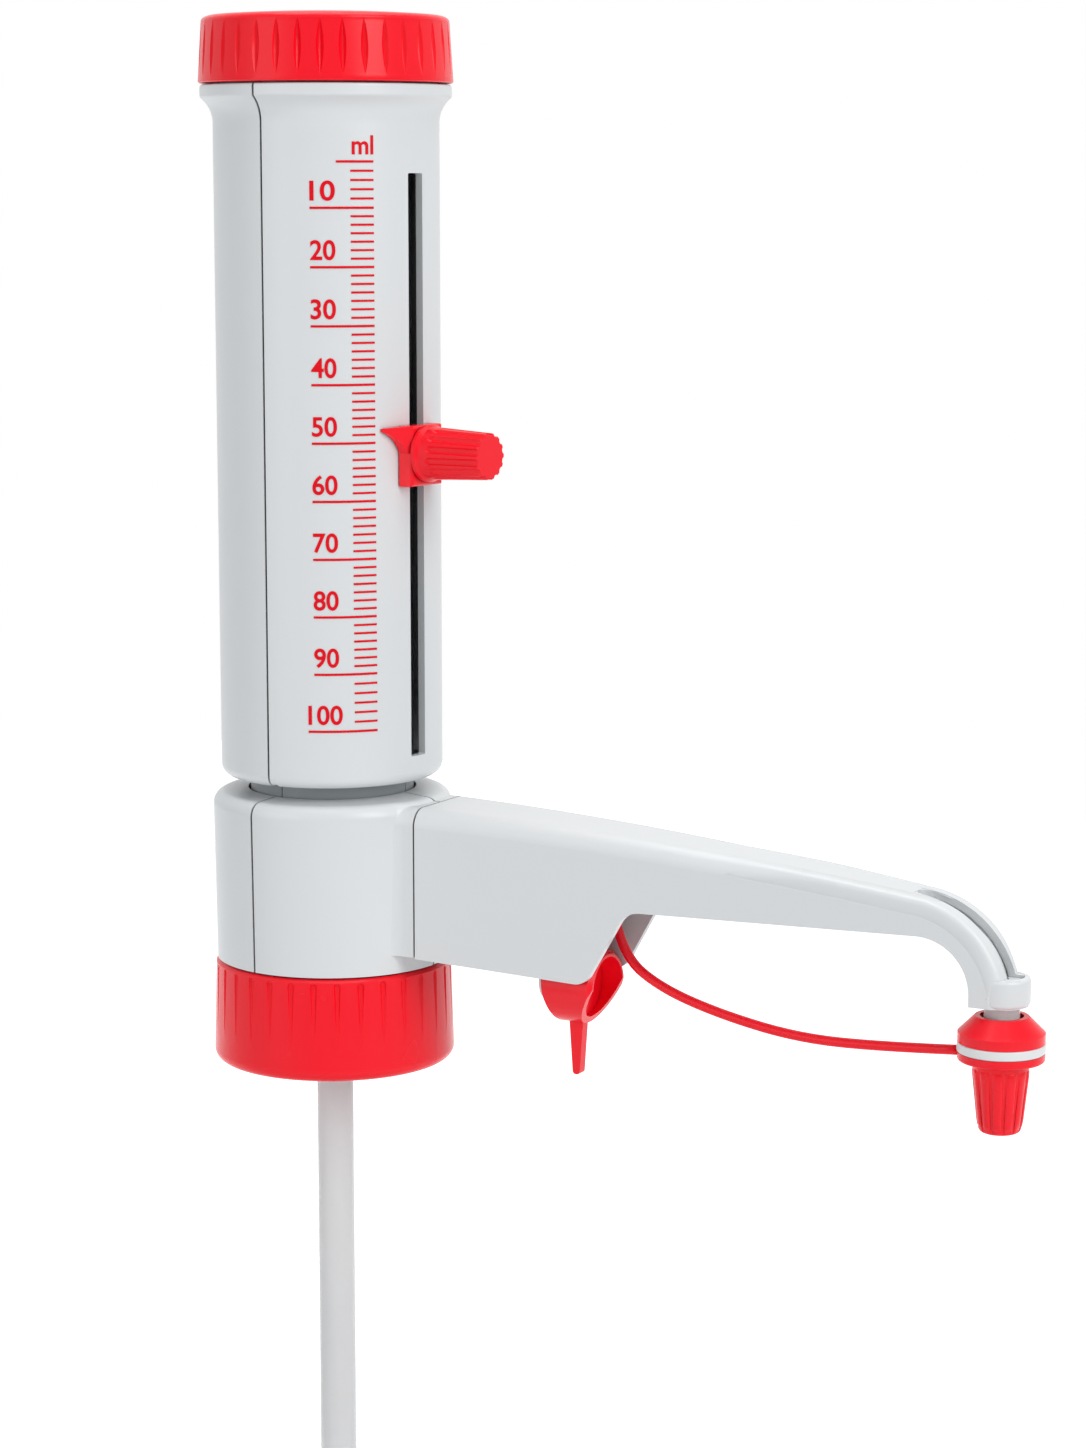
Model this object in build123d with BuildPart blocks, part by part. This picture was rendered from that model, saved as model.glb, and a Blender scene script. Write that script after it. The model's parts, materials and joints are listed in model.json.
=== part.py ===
from build123d import *

import os
from math import asin, cos, degrees, pi, radians, sin, sqrt, tan

os.makedirs("parts", exist_ok=True)

# Bottle top dispenser.  Millimetres, +Z up along the bottle neck, the discharge arm along +X.
# The origin is on the neck's axis at the bottom edge of the screw collar.

# ---------------------------------------------------------------- fits
slip = 0.3  # between faces that move past each other
seam = 0.35  # open joint between two moulded shells
running = 0.05  # radial clearance of a running fit

# ---------------------------------------------------------------- screw collar
neck_thread_r = 22.5  # the bottle's screw neck, 45 mm across its thread
collar_wall = 4.9
collar_h = 23.7
collar_draft = 0.7
collar_grooves = 32
collar_groove_r = 0.75
collar_groove_depth = 0.55
collar_bore_r = neck_thread_r + slip
collar_foot_r = collar_bore_r + collar_wall
collar_top_r = collar_foot_r - collar_draft

# ---------------------------------------------------------------- valve block
flange_z = 18.0
flange_t = 2.5
flange_r = collar_bore_r - 2 * slip
block_neck_r = neck_thread_r - 4.2
lip_z = flange_z + flange_t + slip
seal_t = 1.5
seal_r = flange_r - 2 * slip
seal_bore_r = seal_r - 6.6

# ---------------------------------------------------------------- cylinder, sleeve and piston
capacity = 100000.0  # cubic millimetres, the full scale
piston_r = 15.98
piston_wall = 3.2
glass_wall = 1.37
glass_r = piston_r + running + glass_wall
stroke = capacity / (pi * piston_r**2)
sleeve_gap = 0.35
sleeve_wall = 0.85
sleeve_r = glass_r + sleeve_gap + sleeve_wall
sleeve_foot_r = sleeve_r + 2.9
sleeve_foot_t = 2.0
sleeve_seams = (-95.0, 5.0)

# ---------------------------------------------------------------- barrel, radii
barrel_wall = 1.8
barrel_bore_r = sleeve_r + 4.8
barrel_r = barrel_bore_r + barrel_wall
barrel_lip = 1.7
barrel_lip_h = 2.2
barrel_foot_fillet = 2.5
barrel_seam_angle = -91.8
barrel_seam = 0.5
shoulder_r = barrel_r + 2.8
shoulder_t = 2.7
cove_h = 6.3
spigot_h = 5.0
stop_ring_r = barrel_bore_r - 0.7

# ---------------------------------------------------------------- housing round the valve block
body_z = collar_h + slip
body_h = 38.4
body_top = body_z + body_h
body_foot_r = barrel_r + 1.5
body_top_r = body_foot_r + 0.5
body_wall = 2.2
body_rim_fillet = 3.0
body_rise = 0.8
body_hole_r = sleeve_r + 0.6
body_seam = 0.5
body_seam_angle = -99.6  # the near seam; the other two lie in the arm's plane
boss_x = body_top_r + 1.4
boss_half = 12.0
boss_top = body_top - 0.6
boss_z = boss_top - 33.6
boss_root = 4.5
boss_crown = 3.8
block_r = body_foot_r - body_wall - slip
block_z = body_z + body_wall + slip
block_top = body_top - 11.9
socket_z = block_top - 6.0  # where the glass stands in the valve block
chamber_gap = 1.5  # under the piston at the bottom of its travel
piston_z = socket_z + chamber_gap

# ---------------------------------------------------------------- barrel, heights
barrel_gap = 4.0  # above the housing, where the sleeve shows
barrel_z = body_top + barrel_gap
full_z = barrel_z + 13.15
zero_z = full_z + stroke  # the scale's zero
barrel_top = zero_z + 16.8
stop_play = 0.2
stop_ring_z = zero_z + stop_play
stop_ring_t = 4.0

# ---------------------------------------------------------------- top cap
cap_h = 15.7
cap_foot_r = shoulder_r + 0.4
cap_draft = 0.9
cap_dome = 1.4
cap_grooves = 36
cap_groove_half = 1.15
cap_groove_depth = 0.8
cap_rib_r = sleeve_r + 1.4
cap_roof = 3.5
holder_t = 3.0
holder_hub = 12.0
cap_z = barrel_top + slip
cap_top = cap_z + cap_h
cap_bore_r = barrel_r
holder_z = barrel_top + spigot_h

# ---------------------------------------------------------------- volume slider
slot_angle = -7.2
slot_w = 5.0
slot_spare = 2.5
set_volume = 46.7  # per cent of the full scale
knob_drop = 5.4  # from the pointer's tip down to the knob's axis
key_h = 2.8
key_play = 0.2
slider_rise = 0.8
slider_h = 13.4
slider_half = 5.6
slider_flare = 0.6
slider_face = barrel_r + 2.9
pointer_t = 0.6
pointer_turn = 24.0
stop_half = 5.4
stop_back = sleeve_r + 0.9
screw_r = 0.95
pointer_z = zero_z - stroke * set_volume / 100
knob_z = pointer_z - knob_drop
slot_foot = full_z - knob_drop - key_h / 2 - key_play
slot_head = zero_z - slot_spare
slider_top = pointer_z + slider_rise
slider_foot = slider_top - slider_h

# ---------------------------------------------------------------- clamp knob
knob_end = slider_face + 17.4
knob_base_r = 6.4
knob_root_r = 5.85
knob_tip_r = 5.15
knob_base_t = 0.9
knob_flutes = 14
knob_flute_r = 0.95
knob_flute_lift = 0.25
knob_flute_start = 2.6
knob_z0 = slider_face + slip

# ---------------------------------------------------------------- discharge arm
arm_gap = 0.4
arm_x = boss_x + arm_gap
arm_root_z = boss_top
arm_root_half = boss_half
arm_taper = 0.0448
arm_wall = 1.6
arm_foot_z = boss_z - 0.3
heel = (arm_x + 42.0, arm_foot_z - 1.7)
heel_fillet = 4.2
throat = (arm_x + 51.9, arm_foot_z + 15.6)
throat_fillet = 5.5
crown_mid = (arm_x + 61.0, arm_root_z - 2.9)
bend_r = 23.0
bend_x = arm_x + 115.3
bend_z = arm_root_z - 31.65
bend_start = 84.5
inner_bend_r = 11.6
inner_bend_top = bend_z + 14.65
arm_edge = 4.0
slot_half = 2.5
nozzle_x = arm_x + 135.4
collar2_r = 5.56
collar2_z = bend_z + 0.75
collar2_top = collar2_z + 6.1
inner_bend_x = nozzle_x - collar2_r - inner_bend_r + 0.4

# ---------------------------------------------------------------- passages and tubes
channel_r = 1.6
outlet_z = block_top - 4.5
nose_half = 9.6
nose_x = boss_x + 5.4
nose_z = boss_z + 3.3
nose_top = block_top + 6.0
well_x = glass_r + 5.0
well_r = 3.0
tube_r = 1.9
tube_bore_r = 1.3
spout_r = 1.5
spout_bore_r = 1.0
spout_z = inner_bend_top + 4.1
spout_bend_r = 17.0
ball_r = 2.4
seat_z = outlet_z - 7.0
low_channel_z = seat_z - 4.0
ball_lift = 1.2
return_y = 5.0
return_z = nose_z + 3.0
return_x = 11.0
hose_r = 4.2
hose_wall = 0.58
hose_top = 13.5
hose_foot = -115.0
lower_foot = -235.0
lower_top = -60.0
intake_ball_r = 3.0
spigot_r = hose_r - hose_wall - 0.02

# ---------------------------------------------------------------- recirculation valve
drum_r = 8.4
drum_z = arm_foot_z - 4.1
drum_back = arm_x + 29.8
drum_front = drum_back + 12.8
drum_wall = 1.5
drum_web = 2.0
finger_tip_z = drum_z - 20.4
finger_x = drum_back + 5.45
finger_top_w = 3.6
finger_tip_w = 1.7
valve_x = nose_x + 6.0
valve_half = 7.8
valve_foot = arm_foot_z + 1.3
valve_top = valve_foot + 21.8
drum_hub = drum_back + 7.5
drum_hub_t = 2.0
finger_half = 1.2
valve_end = drum_back - 0.4
spindle_r = 3.0
stator_r = 4.0
stator_x = valve_end - 2.1
port_r = 0.7
port_x = stator_x + 1.0
port_y = 1.6
peg_x = arm_x + 43.7
peg_z = arm_foot_z + 13.9
peg_r = 1.3

# ---------------------------------------------------------------- nozzle and its closure
nozzle_r = 3.78
nozzle_foot = collar2_z - 19.9
rim_z = collar2_z - 2.3
rim_r = 5.7
rim_bore_r = 4.6
cone_r = 9.2
cone_foot = rim_z - 5.6
cone_side = 2.1
band_r = 9.3
band_t = 2.1
tether_ring_t = 1.9
grip_r = 5.95
grip_tip_r = 4.4
grip_foot = rim_z - 25.0
grip_flutes = 12
neck_r = 5.2
grip_bore_r = nozzle_r + 0.35
band_z = cone_foot - band_t
ring_z = band_z - tether_ring_t

# ---------------------------------------------------------------- tether
tether_r = 1.1
eye_r = 3.0
tether_start = (peg_x + 0.5, peg_z - 3.2)
tether_end = (nozzle_x - cone_r - 0.15, ring_z + 1.0)
tether_route = [
    tether_start,
    (tether_start[0] + 2.4, tether_start[1] - 7.4),
    (tether_start[0] + 11.6, tether_start[1] - 13.4),
    (tether_start[0] + 26.2, tether_start[1] - 17.6),
    (tether_end[0] - 37.6, tether_end[1] - 1.9),
    (tether_end[0] - 19.0, tether_end[1] - 1.6),
    tether_end,
]


def outline(points, plane=Plane.XZ):
    """A closed straight-edged face."""
    with BuildSketch(plane) as face:
        with BuildLine():
            Polyline(*points, close=True)
        make_face()
    return face.sketch


def ring(inner_r, outer_r, foot, head):
    """Half the section of a plain ring about the Z axis."""
    return outline([(inner_r, foot), (outer_r, foot), (outer_r, head), (inner_r, head)])


def level(z, turn=0.0):
    """A horizontal plane whose x axis points out at an angle round the Z axis."""
    across = (cos(radians(turn)), sin(radians(turn)), 0)
    return Plane(origin=(0, 0, z), x_dir=across, z_dir=(0, 0, 1))


def facing(distance, z, turn=0.0):
    """A plane square to the radius at an angle, seen from outside, with its y axis up."""
    out = (cos(radians(turn)), sin(radians(turn)), 0)
    centre = (distance * out[0], distance * out[1], z)
    return Plane(origin=centre, x_dir=(-out[1], out[0], 0), z_dir=out)


def wedge(start, end, gap, foot, head):
    """The solid between two angles round the Z axis, drawn back by half a seam at each side."""
    reach = 2 * barrel_r
    back = degrees(gap / 2 / barrel_r)
    first, last = start + back, end - back
    with BuildPart() as slice_of:
        with BuildSketch(Plane.XY.offset(foot)):
            with BuildLine():
                edge = CenterArc((0, 0), reach, first, last - first)
                Line((0, 0), edge @ 0)
                Line(edge @ 1, (0, 0))
            make_face()
        extrude(amount=head - foot)
    return slice_of.part


def finish(piece, name):
    piece.label = name
    export_step(piece, f"parts/{name}.step")


# ================================================================ screw collar
with BuildPart() as collar_groove:
    # A long drop: a round head at the top that draws out to a point near the foot.
    with BuildSketch(Plane.XZ):
        with BuildLine():
            axis_r = collar_top_r + collar_groove_r - collar_groove_depth
            head_z = collar_h - 1.0
            head = (axis_r, head_z)
            side = (axis_r - collar_groove_r, head_z - collar_groove_r)
            tail = (axis_r + collar_draft * 0.9, 2.2)
            RadiusArc(head, side, -collar_groove_r)
            Line(side, tail)
            Line(tail, head)
        make_face()
    revolve(axis=Axis((axis_r, 0, head[1]), (tail[0] - head[0], 0, tail[1] - head[1])))

with BuildPart() as screw_collar:
    revolve(
        outline(
            [
                (collar_bore_r, 0),
                (collar_foot_r, 0),
                (collar_top_r, collar_h),
                (block_neck_r + slip, collar_h),
                (block_neck_r + slip, lip_z),
                (collar_bore_r, lip_z),
            ]
        ),
        axis=Axis.Z,
    )
    rims = screw_collar.edges().filter_by(GeomType.CIRCLE)
    fillet(rims.group_by(Axis.Z)[0].sort_by(SortBy.RADIUS)[-1], 2.4)
    top_rim = screw_collar.edges().filter_by(GeomType.CIRCLE).group_by(Axis.Z)[-1]
    chamfer(top_rim.sort_by(SortBy.RADIUS)[-1], 0.8)
    mouth = screw_collar.edges().filter_by(GeomType.CIRCLE).group_by(Axis.Z)[0]
    chamfer(mouth.sort_by(SortBy.RADIUS)[0], 0.8)
    with PolarLocations(0, collar_grooves):
        add(collar_groove.part, mode=Mode.SUBTRACT)
finish(screw_collar.part, "screw_collar")

# ================================================================ bottle seal
with BuildPart() as bottle_seal:
    revolve(ring(seal_bore_r, seal_r, flange_z - seal_t, flange_z), axis=Axis.Z)
finish(bottle_seal.part, "bottle_seal")

# ================================================================ valve block
valve_spigot_r = 7.0
valve_spigot_top = 30.0
with BuildPart() as valve_block:
    revolve(
        outline(
            [
                (0, flange_z),
                (flange_r, flange_z),
                (flange_r, flange_z + flange_t),
                (block_neck_r, flange_z + flange_t),
                (block_neck_r, block_z),
                (block_r, block_z),
                (block_r, block_top),
                (0, block_top),
            ]
        ),
        axis=Axis.Z,
    )
    # the nose that carries the discharge arm
    with BuildSketch(Plane.XY.offset(nose_z)):
        with Locations(((well_x - 8 + nose_x) / 2, 0)):
            Rectangle(nose_x - well_x + 8, 2 * nose_half)
    extrude(amount=nose_top - nose_z)
    nose_ends = valve_block.edges().filter_by(Axis.Y).group_by(Axis.X)[-1]
    chamfer(nose_ends, 1.0)
    # socket for the glass, with the floor of the chamber dished towards the channel
    revolve(
        outline(
            [
                (0, socket_z - 2.0),
                (channel_r, socket_z - 2.0),
                (piston_r - 1.5, socket_z),
                (glass_r + 0.1, socket_z),
                (glass_r + 0.1, nose_top + 1),
                (0, nose_top + 1),
            ]
        ),
        axis=Axis.Z,
        mode=Mode.SUBTRACT,
    )
    # intake valve's seat from below and the channel up into the chamber
    revolve(
        ring(0, valve_spigot_r, flange_z - 1, valve_spigot_top), axis=Axis.Z, mode=Mode.SUBTRACT
    )
    revolve(
        ring(0, channel_r, valve_spigot_top - 1, socket_z), axis=Axis.Z, mode=Mode.SUBTRACT
    )
    # discharge: along under the chamber, up past the ball and out through the nose
    with BuildSketch(Plane.YZ):
        with Locations((0, low_channel_z)):
            Circle(channel_r)
    extrude(amount=well_x, mode=Mode.SUBTRACT)
    with BuildSketch(Plane.XY.offset(low_channel_z)):
        with Locations((well_x, 0)):
            Circle(channel_r)
    extrude(amount=seat_z - low_channel_z, mode=Mode.SUBTRACT)
    with BuildSketch(Plane.XY.offset(seat_z)):
        with Locations((well_x, 0)):
            Circle(well_r)
    extrude(amount=nose_top - seat_z, mode=Mode.SUBTRACT)
    with BuildSketch(Plane.YZ.offset(well_x)):
        with Locations((0, outlet_z)):
            Circle(tube_r + running)
    extrude(amount=nose_x - well_x, mode=Mode.SUBTRACT)
    # return: in through the nose and down into the bottle
    with BuildSketch(Plane.YZ.offset(return_x)):
        with Locations((return_y, return_z)):
            Circle(tube_r + running)
    extrude(amount=nose_x - return_x, mode=Mode.SUBTRACT)
    with BuildSketch(Plane.XY.offset(flange_z)):
        with Locations((return_x, return_y)):
            Circle(channel_r)
    extrude(amount=return_z - flange_z, mode=Mode.SUBTRACT)
finish(valve_block.part, "valve_block")

# ================================================================ intake valve
ball_rest = flange_z + 4.0 + sqrt(intake_ball_r**2 - 2.2**2)
with BuildPart() as intake_valve_seat:
    revolve(
        outline(
            [
                (2.2, hose_top - 10),
                (spigot_r - 0.6, hose_top - 10),
                (spigot_r, hose_top - 8),
                (spigot_r, hose_top + 0.5),
                (9.2, hose_top + 0.5),
                (9.2, flange_z),
                (valve_spigot_r, flange_z),
                (valve_spigot_r, valve_spigot_top),
                (intake_ball_r + 0.6, valve_spigot_top),
                (intake_ball_r + 0.6, flange_z + 4.0),
                (2.2, flange_z + 4.0),
            ]
        ),
        axis=Axis.Z,
    )
    # flats for a spanner on the shoulder
    with BuildSketch(Plane.XY.offset(hose_top + 0.5)):
        Circle(9.2)
        RegularPolygon(8.4, 6, mode=Mode.SUBTRACT)
    extrude(amount=flange_z - hose_top - 0.5, mode=Mode.SUBTRACT)
finish(intake_valve_seat.part, "intake_valve_seat")

with BuildPart() as intake_ball:
    with Locations((0, 0, ball_rest)):
        Sphere(intake_ball_r)
finish(intake_ball.part, "intake_ball")

with BuildPart() as intake_tube_upper:
    revolve(ring(hose_r - hose_wall, hose_r, hose_foot, hose_top), axis=Axis.Z)
finish(intake_tube_upper.part, "intake_tube_upper")

lower_r = hose_r - hose_wall - running
with BuildPart() as intake_tube_lower:
    revolve(ring(lower_r - hose_wall, lower_r, lower_foot, lower_top), axis=Axis.Z)
    # the foot is cut on the slant so that it can't seal itself against the bottle's floor
    with BuildSketch(Plane.XZ):
        with BuildLine():
            Polyline(
                (-lower_r - 1, lower_foot - 1),
                (lower_r + 1, lower_foot - 1),
                (lower_r + 1, lower_foot + 2 * lower_r),
                close=True,
            )
        make_face()
    extrude(amount=lower_r + 1, both=True, mode=Mode.SUBTRACT)
finish(intake_tube_lower.part, "intake_tube_lower")

# ================================================================ discharge valve
discharge_rest = seat_z + sqrt(ball_r**2 - channel_r**2)
with BuildPart() as discharge_ball:
    with Locations((well_x, 0, discharge_rest)):
        Sphere(ball_r)
finish(discharge_ball.part, "discharge_ball")

plug_z = outlet_z + tube_r + 0.4
with BuildPart() as discharge_valve_plug:
    with BuildSketch(Plane.XY.offset(plug_z)):
        with Locations((well_x, 0)):
            Circle(well_r)
    extrude(amount=nose_top - plug_z)
    with BuildSketch(Plane.XY.offset(nose_top - 1.2)):
        with Locations((well_x, 0)):
            Rectangle(2 * well_r + 1, 0.9)
    extrude(amount=2, mode=Mode.SUBTRACT)
finish(discharge_valve_plug.part, "discharge_valve_plug")

# ================================================================ glass cylinder and its sleeve
with BuildPart() as glass_cylinder:
    revolve(ring(piston_r + running, glass_r, socket_z, stop_ring_z), axis=Axis.Z)
finish(glass_cylinder.part, "glass_cylinder")

with BuildPart() as sleeve:
    revolve(
        outline(
            [
                (glass_r + sleeve_gap, block_top),
                (sleeve_foot_r, block_top),
                (sleeve_foot_r, block_top + sleeve_foot_t),
                (sleeve_r, block_top + sleeve_foot_t),
                (sleeve_r, stop_ring_z),
                (glass_r + sleeve_gap, stop_ring_z),
            ]
        ),
        axis=Axis.Z,
    )
    # the nose of the valve block stands up through the foot
    with BuildSketch(Plane.XY.offset(block_top)):
        with Locations((nose_x, 0)):
            Rectangle(2 * (nose_x - well_x + 8), 2 * nose_half + 1)
    extrude(amount=nose_top - block_top + 1, mode=Mode.SUBTRACT)

for name, start, end in (
    ("sleeve_front", sleeve_seams[0], sleeve_seams[1]),
    ("sleeve_rear", sleeve_seams[1], sleeve_seams[0] + 360),
):
    with BuildPart() as sleeve_part:
        add(sleeve.part)
        add(wedge(start, end, seam, block_top, stop_ring_z), mode=Mode.INTERSECT)
    finish(sleeve_part.part, name)

with BuildPart() as stop_ring:
    revolve(
        ring(piston_r + 2 * slip, stop_ring_r, stop_ring_z, stop_ring_z + stop_ring_t),
        axis=Axis.Z,
    )
    outer = stop_ring.edges().filter_by(GeomType.CIRCLE).group_by(SortBy.RADIUS)[-1]
    chamfer(outer.sort_by(Axis.Z)[-1], 0.8)
finish(stop_ring.part, "stop_ring")

# ================================================================ piston
with BuildPart() as piston:
    revolve(
        outline(
            [
                (0, piston_z),
                (piston_r, piston_z),
                (piston_r, holder_z),
                (piston_r - piston_wall, holder_z),
                (piston_r - piston_wall, piston_z + piston_wall),
                (0, piston_z + piston_wall),
            ]
        ),
        axis=Axis.Z,
    )
    chamfer(piston.edges().filter_by(GeomType.CIRCLE).group_by(Axis.Z)[0], 0.5)
finish(piston.part, "piston")

hub_r = piston_r - piston_wall
with BuildPart() as piston_holder:
    revolve(
        outline(
            [
                (0, holder_z - holder_hub),
                (hub_r, holder_z - holder_hub),
                (hub_r, holder_z),
                (cap_bore_r - slip, holder_z),
                (cap_bore_r - slip, holder_z + holder_t),
                (0, holder_z + holder_t),
            ]
        ),
        axis=Axis.Z,
    )
    revolve(
        ring(0, 2.5, holder_z - holder_hub, holder_z + holder_t), axis=Axis.Z, mode=Mode.SUBTRACT
    )
finish(piston_holder.part, "piston_holder")

with BuildPart() as piston_screw:
    screw_head_z = holder_z + holder_t
    revolve(
        outline(
            [
                (0, holder_z - holder_hub),
                (2.5, holder_z - holder_hub),
                (2.5, screw_head_z),
                (6.0, screw_head_z),
                (6.0, screw_head_z + 2.6),
                (4.6, screw_head_z + 3.6),
                (0, screw_head_z + 3.6),
            ]
        ),
        axis=Axis.Z,
    )
    with BuildSketch(Plane.XY.offset(screw_head_z + 1.2)):
        RegularPolygon(2.6, 6)
    extrude(amount=4, mode=Mode.SUBTRACT)
finish(piston_screw.part, "piston_screw")

# ================================================================ barrel
with BuildPart() as barrel:
    with BuildSketch(Plane.XZ):
        with BuildLine():
            shoulder_z = barrel_top - shoulder_t
            cove_z = shoulder_z - cove_h
            Polyline(
                (shoulder_r, shoulder_z),
                (shoulder_r, barrel_top),
                (cap_bore_r - slip, barrel_top),
                (cap_bore_r - slip, holder_z),
                (barrel_bore_r, holder_z),
                (barrel_bore_r, barrel_z + barrel_lip_h),
                (barrel_bore_r - barrel_lip, barrel_z + barrel_lip_h),
                (barrel_bore_r - barrel_lip, barrel_z),
                (barrel_r, barrel_z),
                (barrel_r, cove_z),
            )
            bulge = ((barrel_r + shoulder_r) / 2 - 0.75, (cove_z + shoulder_z) / 2 + 0.5)
            ThreePointArc((barrel_r, cove_z), bulge, (shoulder_r, shoulder_z))
        make_face()
    revolve(axis=Axis.Z)
    foot_rims = barrel.edges().filter_by(GeomType.CIRCLE).group_by(Axis.Z)[0]
    fillet(foot_rims.sort_by(SortBy.RADIUS)[-1], barrel_foot_fillet)
    shoulder_rims = barrel.edges().filter_by(GeomType.CIRCLE).group_by(SortBy.RADIUS)[-1]
    fillet(shoulder_rims, 0.6)
    # the volume slot
    with BuildSketch(facing(0, 0, slot_angle)):
        with Locations((0, (slot_foot + slot_head) / 2)):
            RectangleRounded(slot_w, slot_head - slot_foot, 0.4)
    extrude(amount=shoulder_r, mode=Mode.SUBTRACT)

tongue_r = barrel_bore_r + barrel_wall / 2
front_seams = (barrel_seam_angle, barrel_seam_angle + 180)
with BuildPart() as barrel_front_shell:
    add(barrel.part)
    add(wedge(*front_seams, barrel_seam, barrel_z, holder_z), mode=Mode.INTERSECT)
    # rebates that lap over the rear shell's tongues
    for angle in front_seams:
        with BuildSketch(level(barrel_z, angle)):
            with Locations((tongue_r - barrel_wall, 0)):
                Rectangle(2 * barrel_wall, 3.4)
        extrude(amount=cove_z - barrel_z, mode=Mode.SUBTRACT)
finish(barrel_front_shell.part, "barrel_front_shell")

with BuildPart() as barrel_rear_shell:
    add(barrel.part)
    add(
        wedge(front_seams[1], front_seams[0] + 360, barrel_seam, barrel_z, holder_z),
        mode=Mode.INTERSECT,
    )
    for angle in front_seams:
        with BuildSketch(level(barrel_z + barrel_lip_h, angle)):
            with BuildLine():
                reach = 1.4
                x_in = sqrt(barrel_bore_r**2 - reach**2)
                x_out = sqrt((tongue_r - 0.15) ** 2 - reach**2)
                Line((x_in, -reach), (x_out, -reach))
                RadiusArc((x_out, -reach), (x_out, reach), -(tongue_r - 0.15))
                Line((x_out, reach), (x_in, reach))
                RadiusArc((x_in, reach), (x_in, -reach), barrel_bore_r)
            make_face()
        extrude(amount=cove_z - barrel_z - barrel_lip_h - 0.2)
finish(barrel_rear_shell.part, "barrel_rear_shell")

# ================================================================ top cap
with BuildPart() as cap_groove:
    # A slim lens of revolution about a line just outside the cap's tapered side.
    with BuildSketch(Plane.XZ):
        with BuildLine():
            proud = cap_groove_half - cap_groove_depth
            low = Vector(cap_foot_r - 0.1 + proud, cap_z + 1.5)
            high = Vector(cap_foot_r - cap_draft + 0.05 + proud, cap_top - 2.2)
            middle = (low + high) / 2 - Vector(cap_groove_half, 0)
            ThreePointArc(low, middle, high)
            Line(high, low)
        make_face()
    lens_line = Vector(high.X - low.X, 0, high.Y - low.Y)
    revolve(axis=Axis((low.X, 0, low.Y), lens_line))

with BuildPart() as top_cap:
    with BuildSketch(Plane.XZ):
        with BuildLine():
            rim = (cap_foot_r - cap_draft, cap_top - cap_dome)
            Polyline(
                rim,
                (cap_foot_r, cap_z),
                (cap_bore_r, cap_z),
                (cap_bore_r, holder_z + holder_t),
                (cap_rib_r, holder_z + holder_t),
                (cap_rib_r, cap_top - cap_roof),
                (0, cap_top - cap_roof),
                (0, cap_top),
            )
            dome_mid = (rim[0] * 0.6, cap_top - cap_dome * 0.36)
            ThreePointArc((0, cap_top), dome_mid, rim)
        make_face()
    revolve(axis=Axis.Z)
    foot_rims = top_cap.edges().filter_by(GeomType.CIRCLE).group_by(Axis.Z)[0]
    fillet(foot_rims.sort_by(SortBy.RADIUS)[-1], 0.7)
    rims = top_cap.edges().filter_by(GeomType.CIRCLE)
    fillet(rims.sort_by_distance((rim[0], 0, rim[1]))[0], 1.6)
    with PolarLocations(0, cap_grooves):
        add(cap_groove.part, mode=Mode.SUBTRACT)
finish(top_cap.part, "top_cap")

# ================================================================ volume slider
with BuildPart() as pointer:
    # A fin that runs from the block's front edge back to a tip on the barrel.
    tip_x = (barrel_r + slip) * cos(radians(pointer_turn))
    tip_y = -(barrel_r + slip) * sin(radians(pointer_turn))
    with BuildSketch(level(slider_foot, slot_angle)):
        with BuildLine():
            Polyline(
                (slider_face, -slider_half + 0.6),
                (tip_x + pointer_t, tip_y),
                (tip_x - 1, tip_y),
                (tip_x - 1, -slider_half + 0.6),
                close=True,
            )
        make_face()
        Circle(barrel_r + slip, mode=Mode.SUBTRACT)
    extrude(amount=slider_h)
    with BuildSketch(facing(0, pointer_z, slot_angle)):
        with BuildLine():
            side_y = -slider_half - 0.3
            Polyline(
                (side_y, -5.2),
                (-slider_half + 0.6, -5.2),
                (-slider_half + 0.6, slider_rise),
                (tip_y, 0.35),
                (tip_y, -0.35),
            )
            ThreePointArc((tip_y, -0.35), ((tip_y + side_y) / 2 + 0.5, -2.3), (side_y, -5.2))
        make_face()
    extrude(amount=2 * barrel_r, mode=Mode.INTERSECT)

with BuildPart() as volume_slider:
    with BuildSketch(level(slider_foot, slot_angle)):
        with BuildLine():
            Polyline(
                (slider_face, -slider_half + 0.2),
                (slider_face, slider_half - 0.2),
                (barrel_r - 2, slider_half + slider_flare),
                (barrel_r - 2, -slider_half - slider_flare),
                close=True,
            )
        make_face()
        Circle(barrel_r + slip, mode=Mode.SUBTRACT)
    extrude(amount=slider_h)
    face_edges = volume_slider.faces().sort_by_distance(facing(slider_face, knob_z, slot_angle).origin)[0]
    fillet(face_edges.edges(), 0.7)
    add(pointer.part)
    # the key that runs in the slot, bored for the clamp screw
    with BuildSketch(facing(stop_back + 2.2, knob_z, slot_angle)):
        Rectangle(slot_w - 2 * key_play, key_h)
    extrude(amount=slider_face - stop_back - 4)
    with BuildSketch(facing(0, knob_z, slot_angle)):
        Circle(screw_r + running)
    extrude(amount=2 * barrel_r, mode=Mode.SUBTRACT)
finish(volume_slider.part, "volume_slider")

with BuildPart() as volume_stop:
    with BuildSketch(level(knob_z - knob_drop, slot_angle)):
        Circle(barrel_bore_r - slip)
        with Locations(((stop_back + barrel_r) / 2, 0)):
            Rectangle(barrel_r - stop_back, 2 * stop_half, mode=Mode.INTERSECT)
    extrude(amount=pointer_z - knob_z + knob_drop)
    with BuildSketch(facing(stop_back + 2.1, knob_z, slot_angle)):
        Rectangle(slot_w, key_h + 2 * key_play)
    extrude(amount=5, mode=Mode.SUBTRACT)
    with BuildSketch(facing(0, knob_z, slot_angle)):
        Circle(screw_r + running)
    extrude(amount=2 * barrel_r, mode=Mode.SUBTRACT)
finish(volume_stop.part, "volume_stop")

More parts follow.
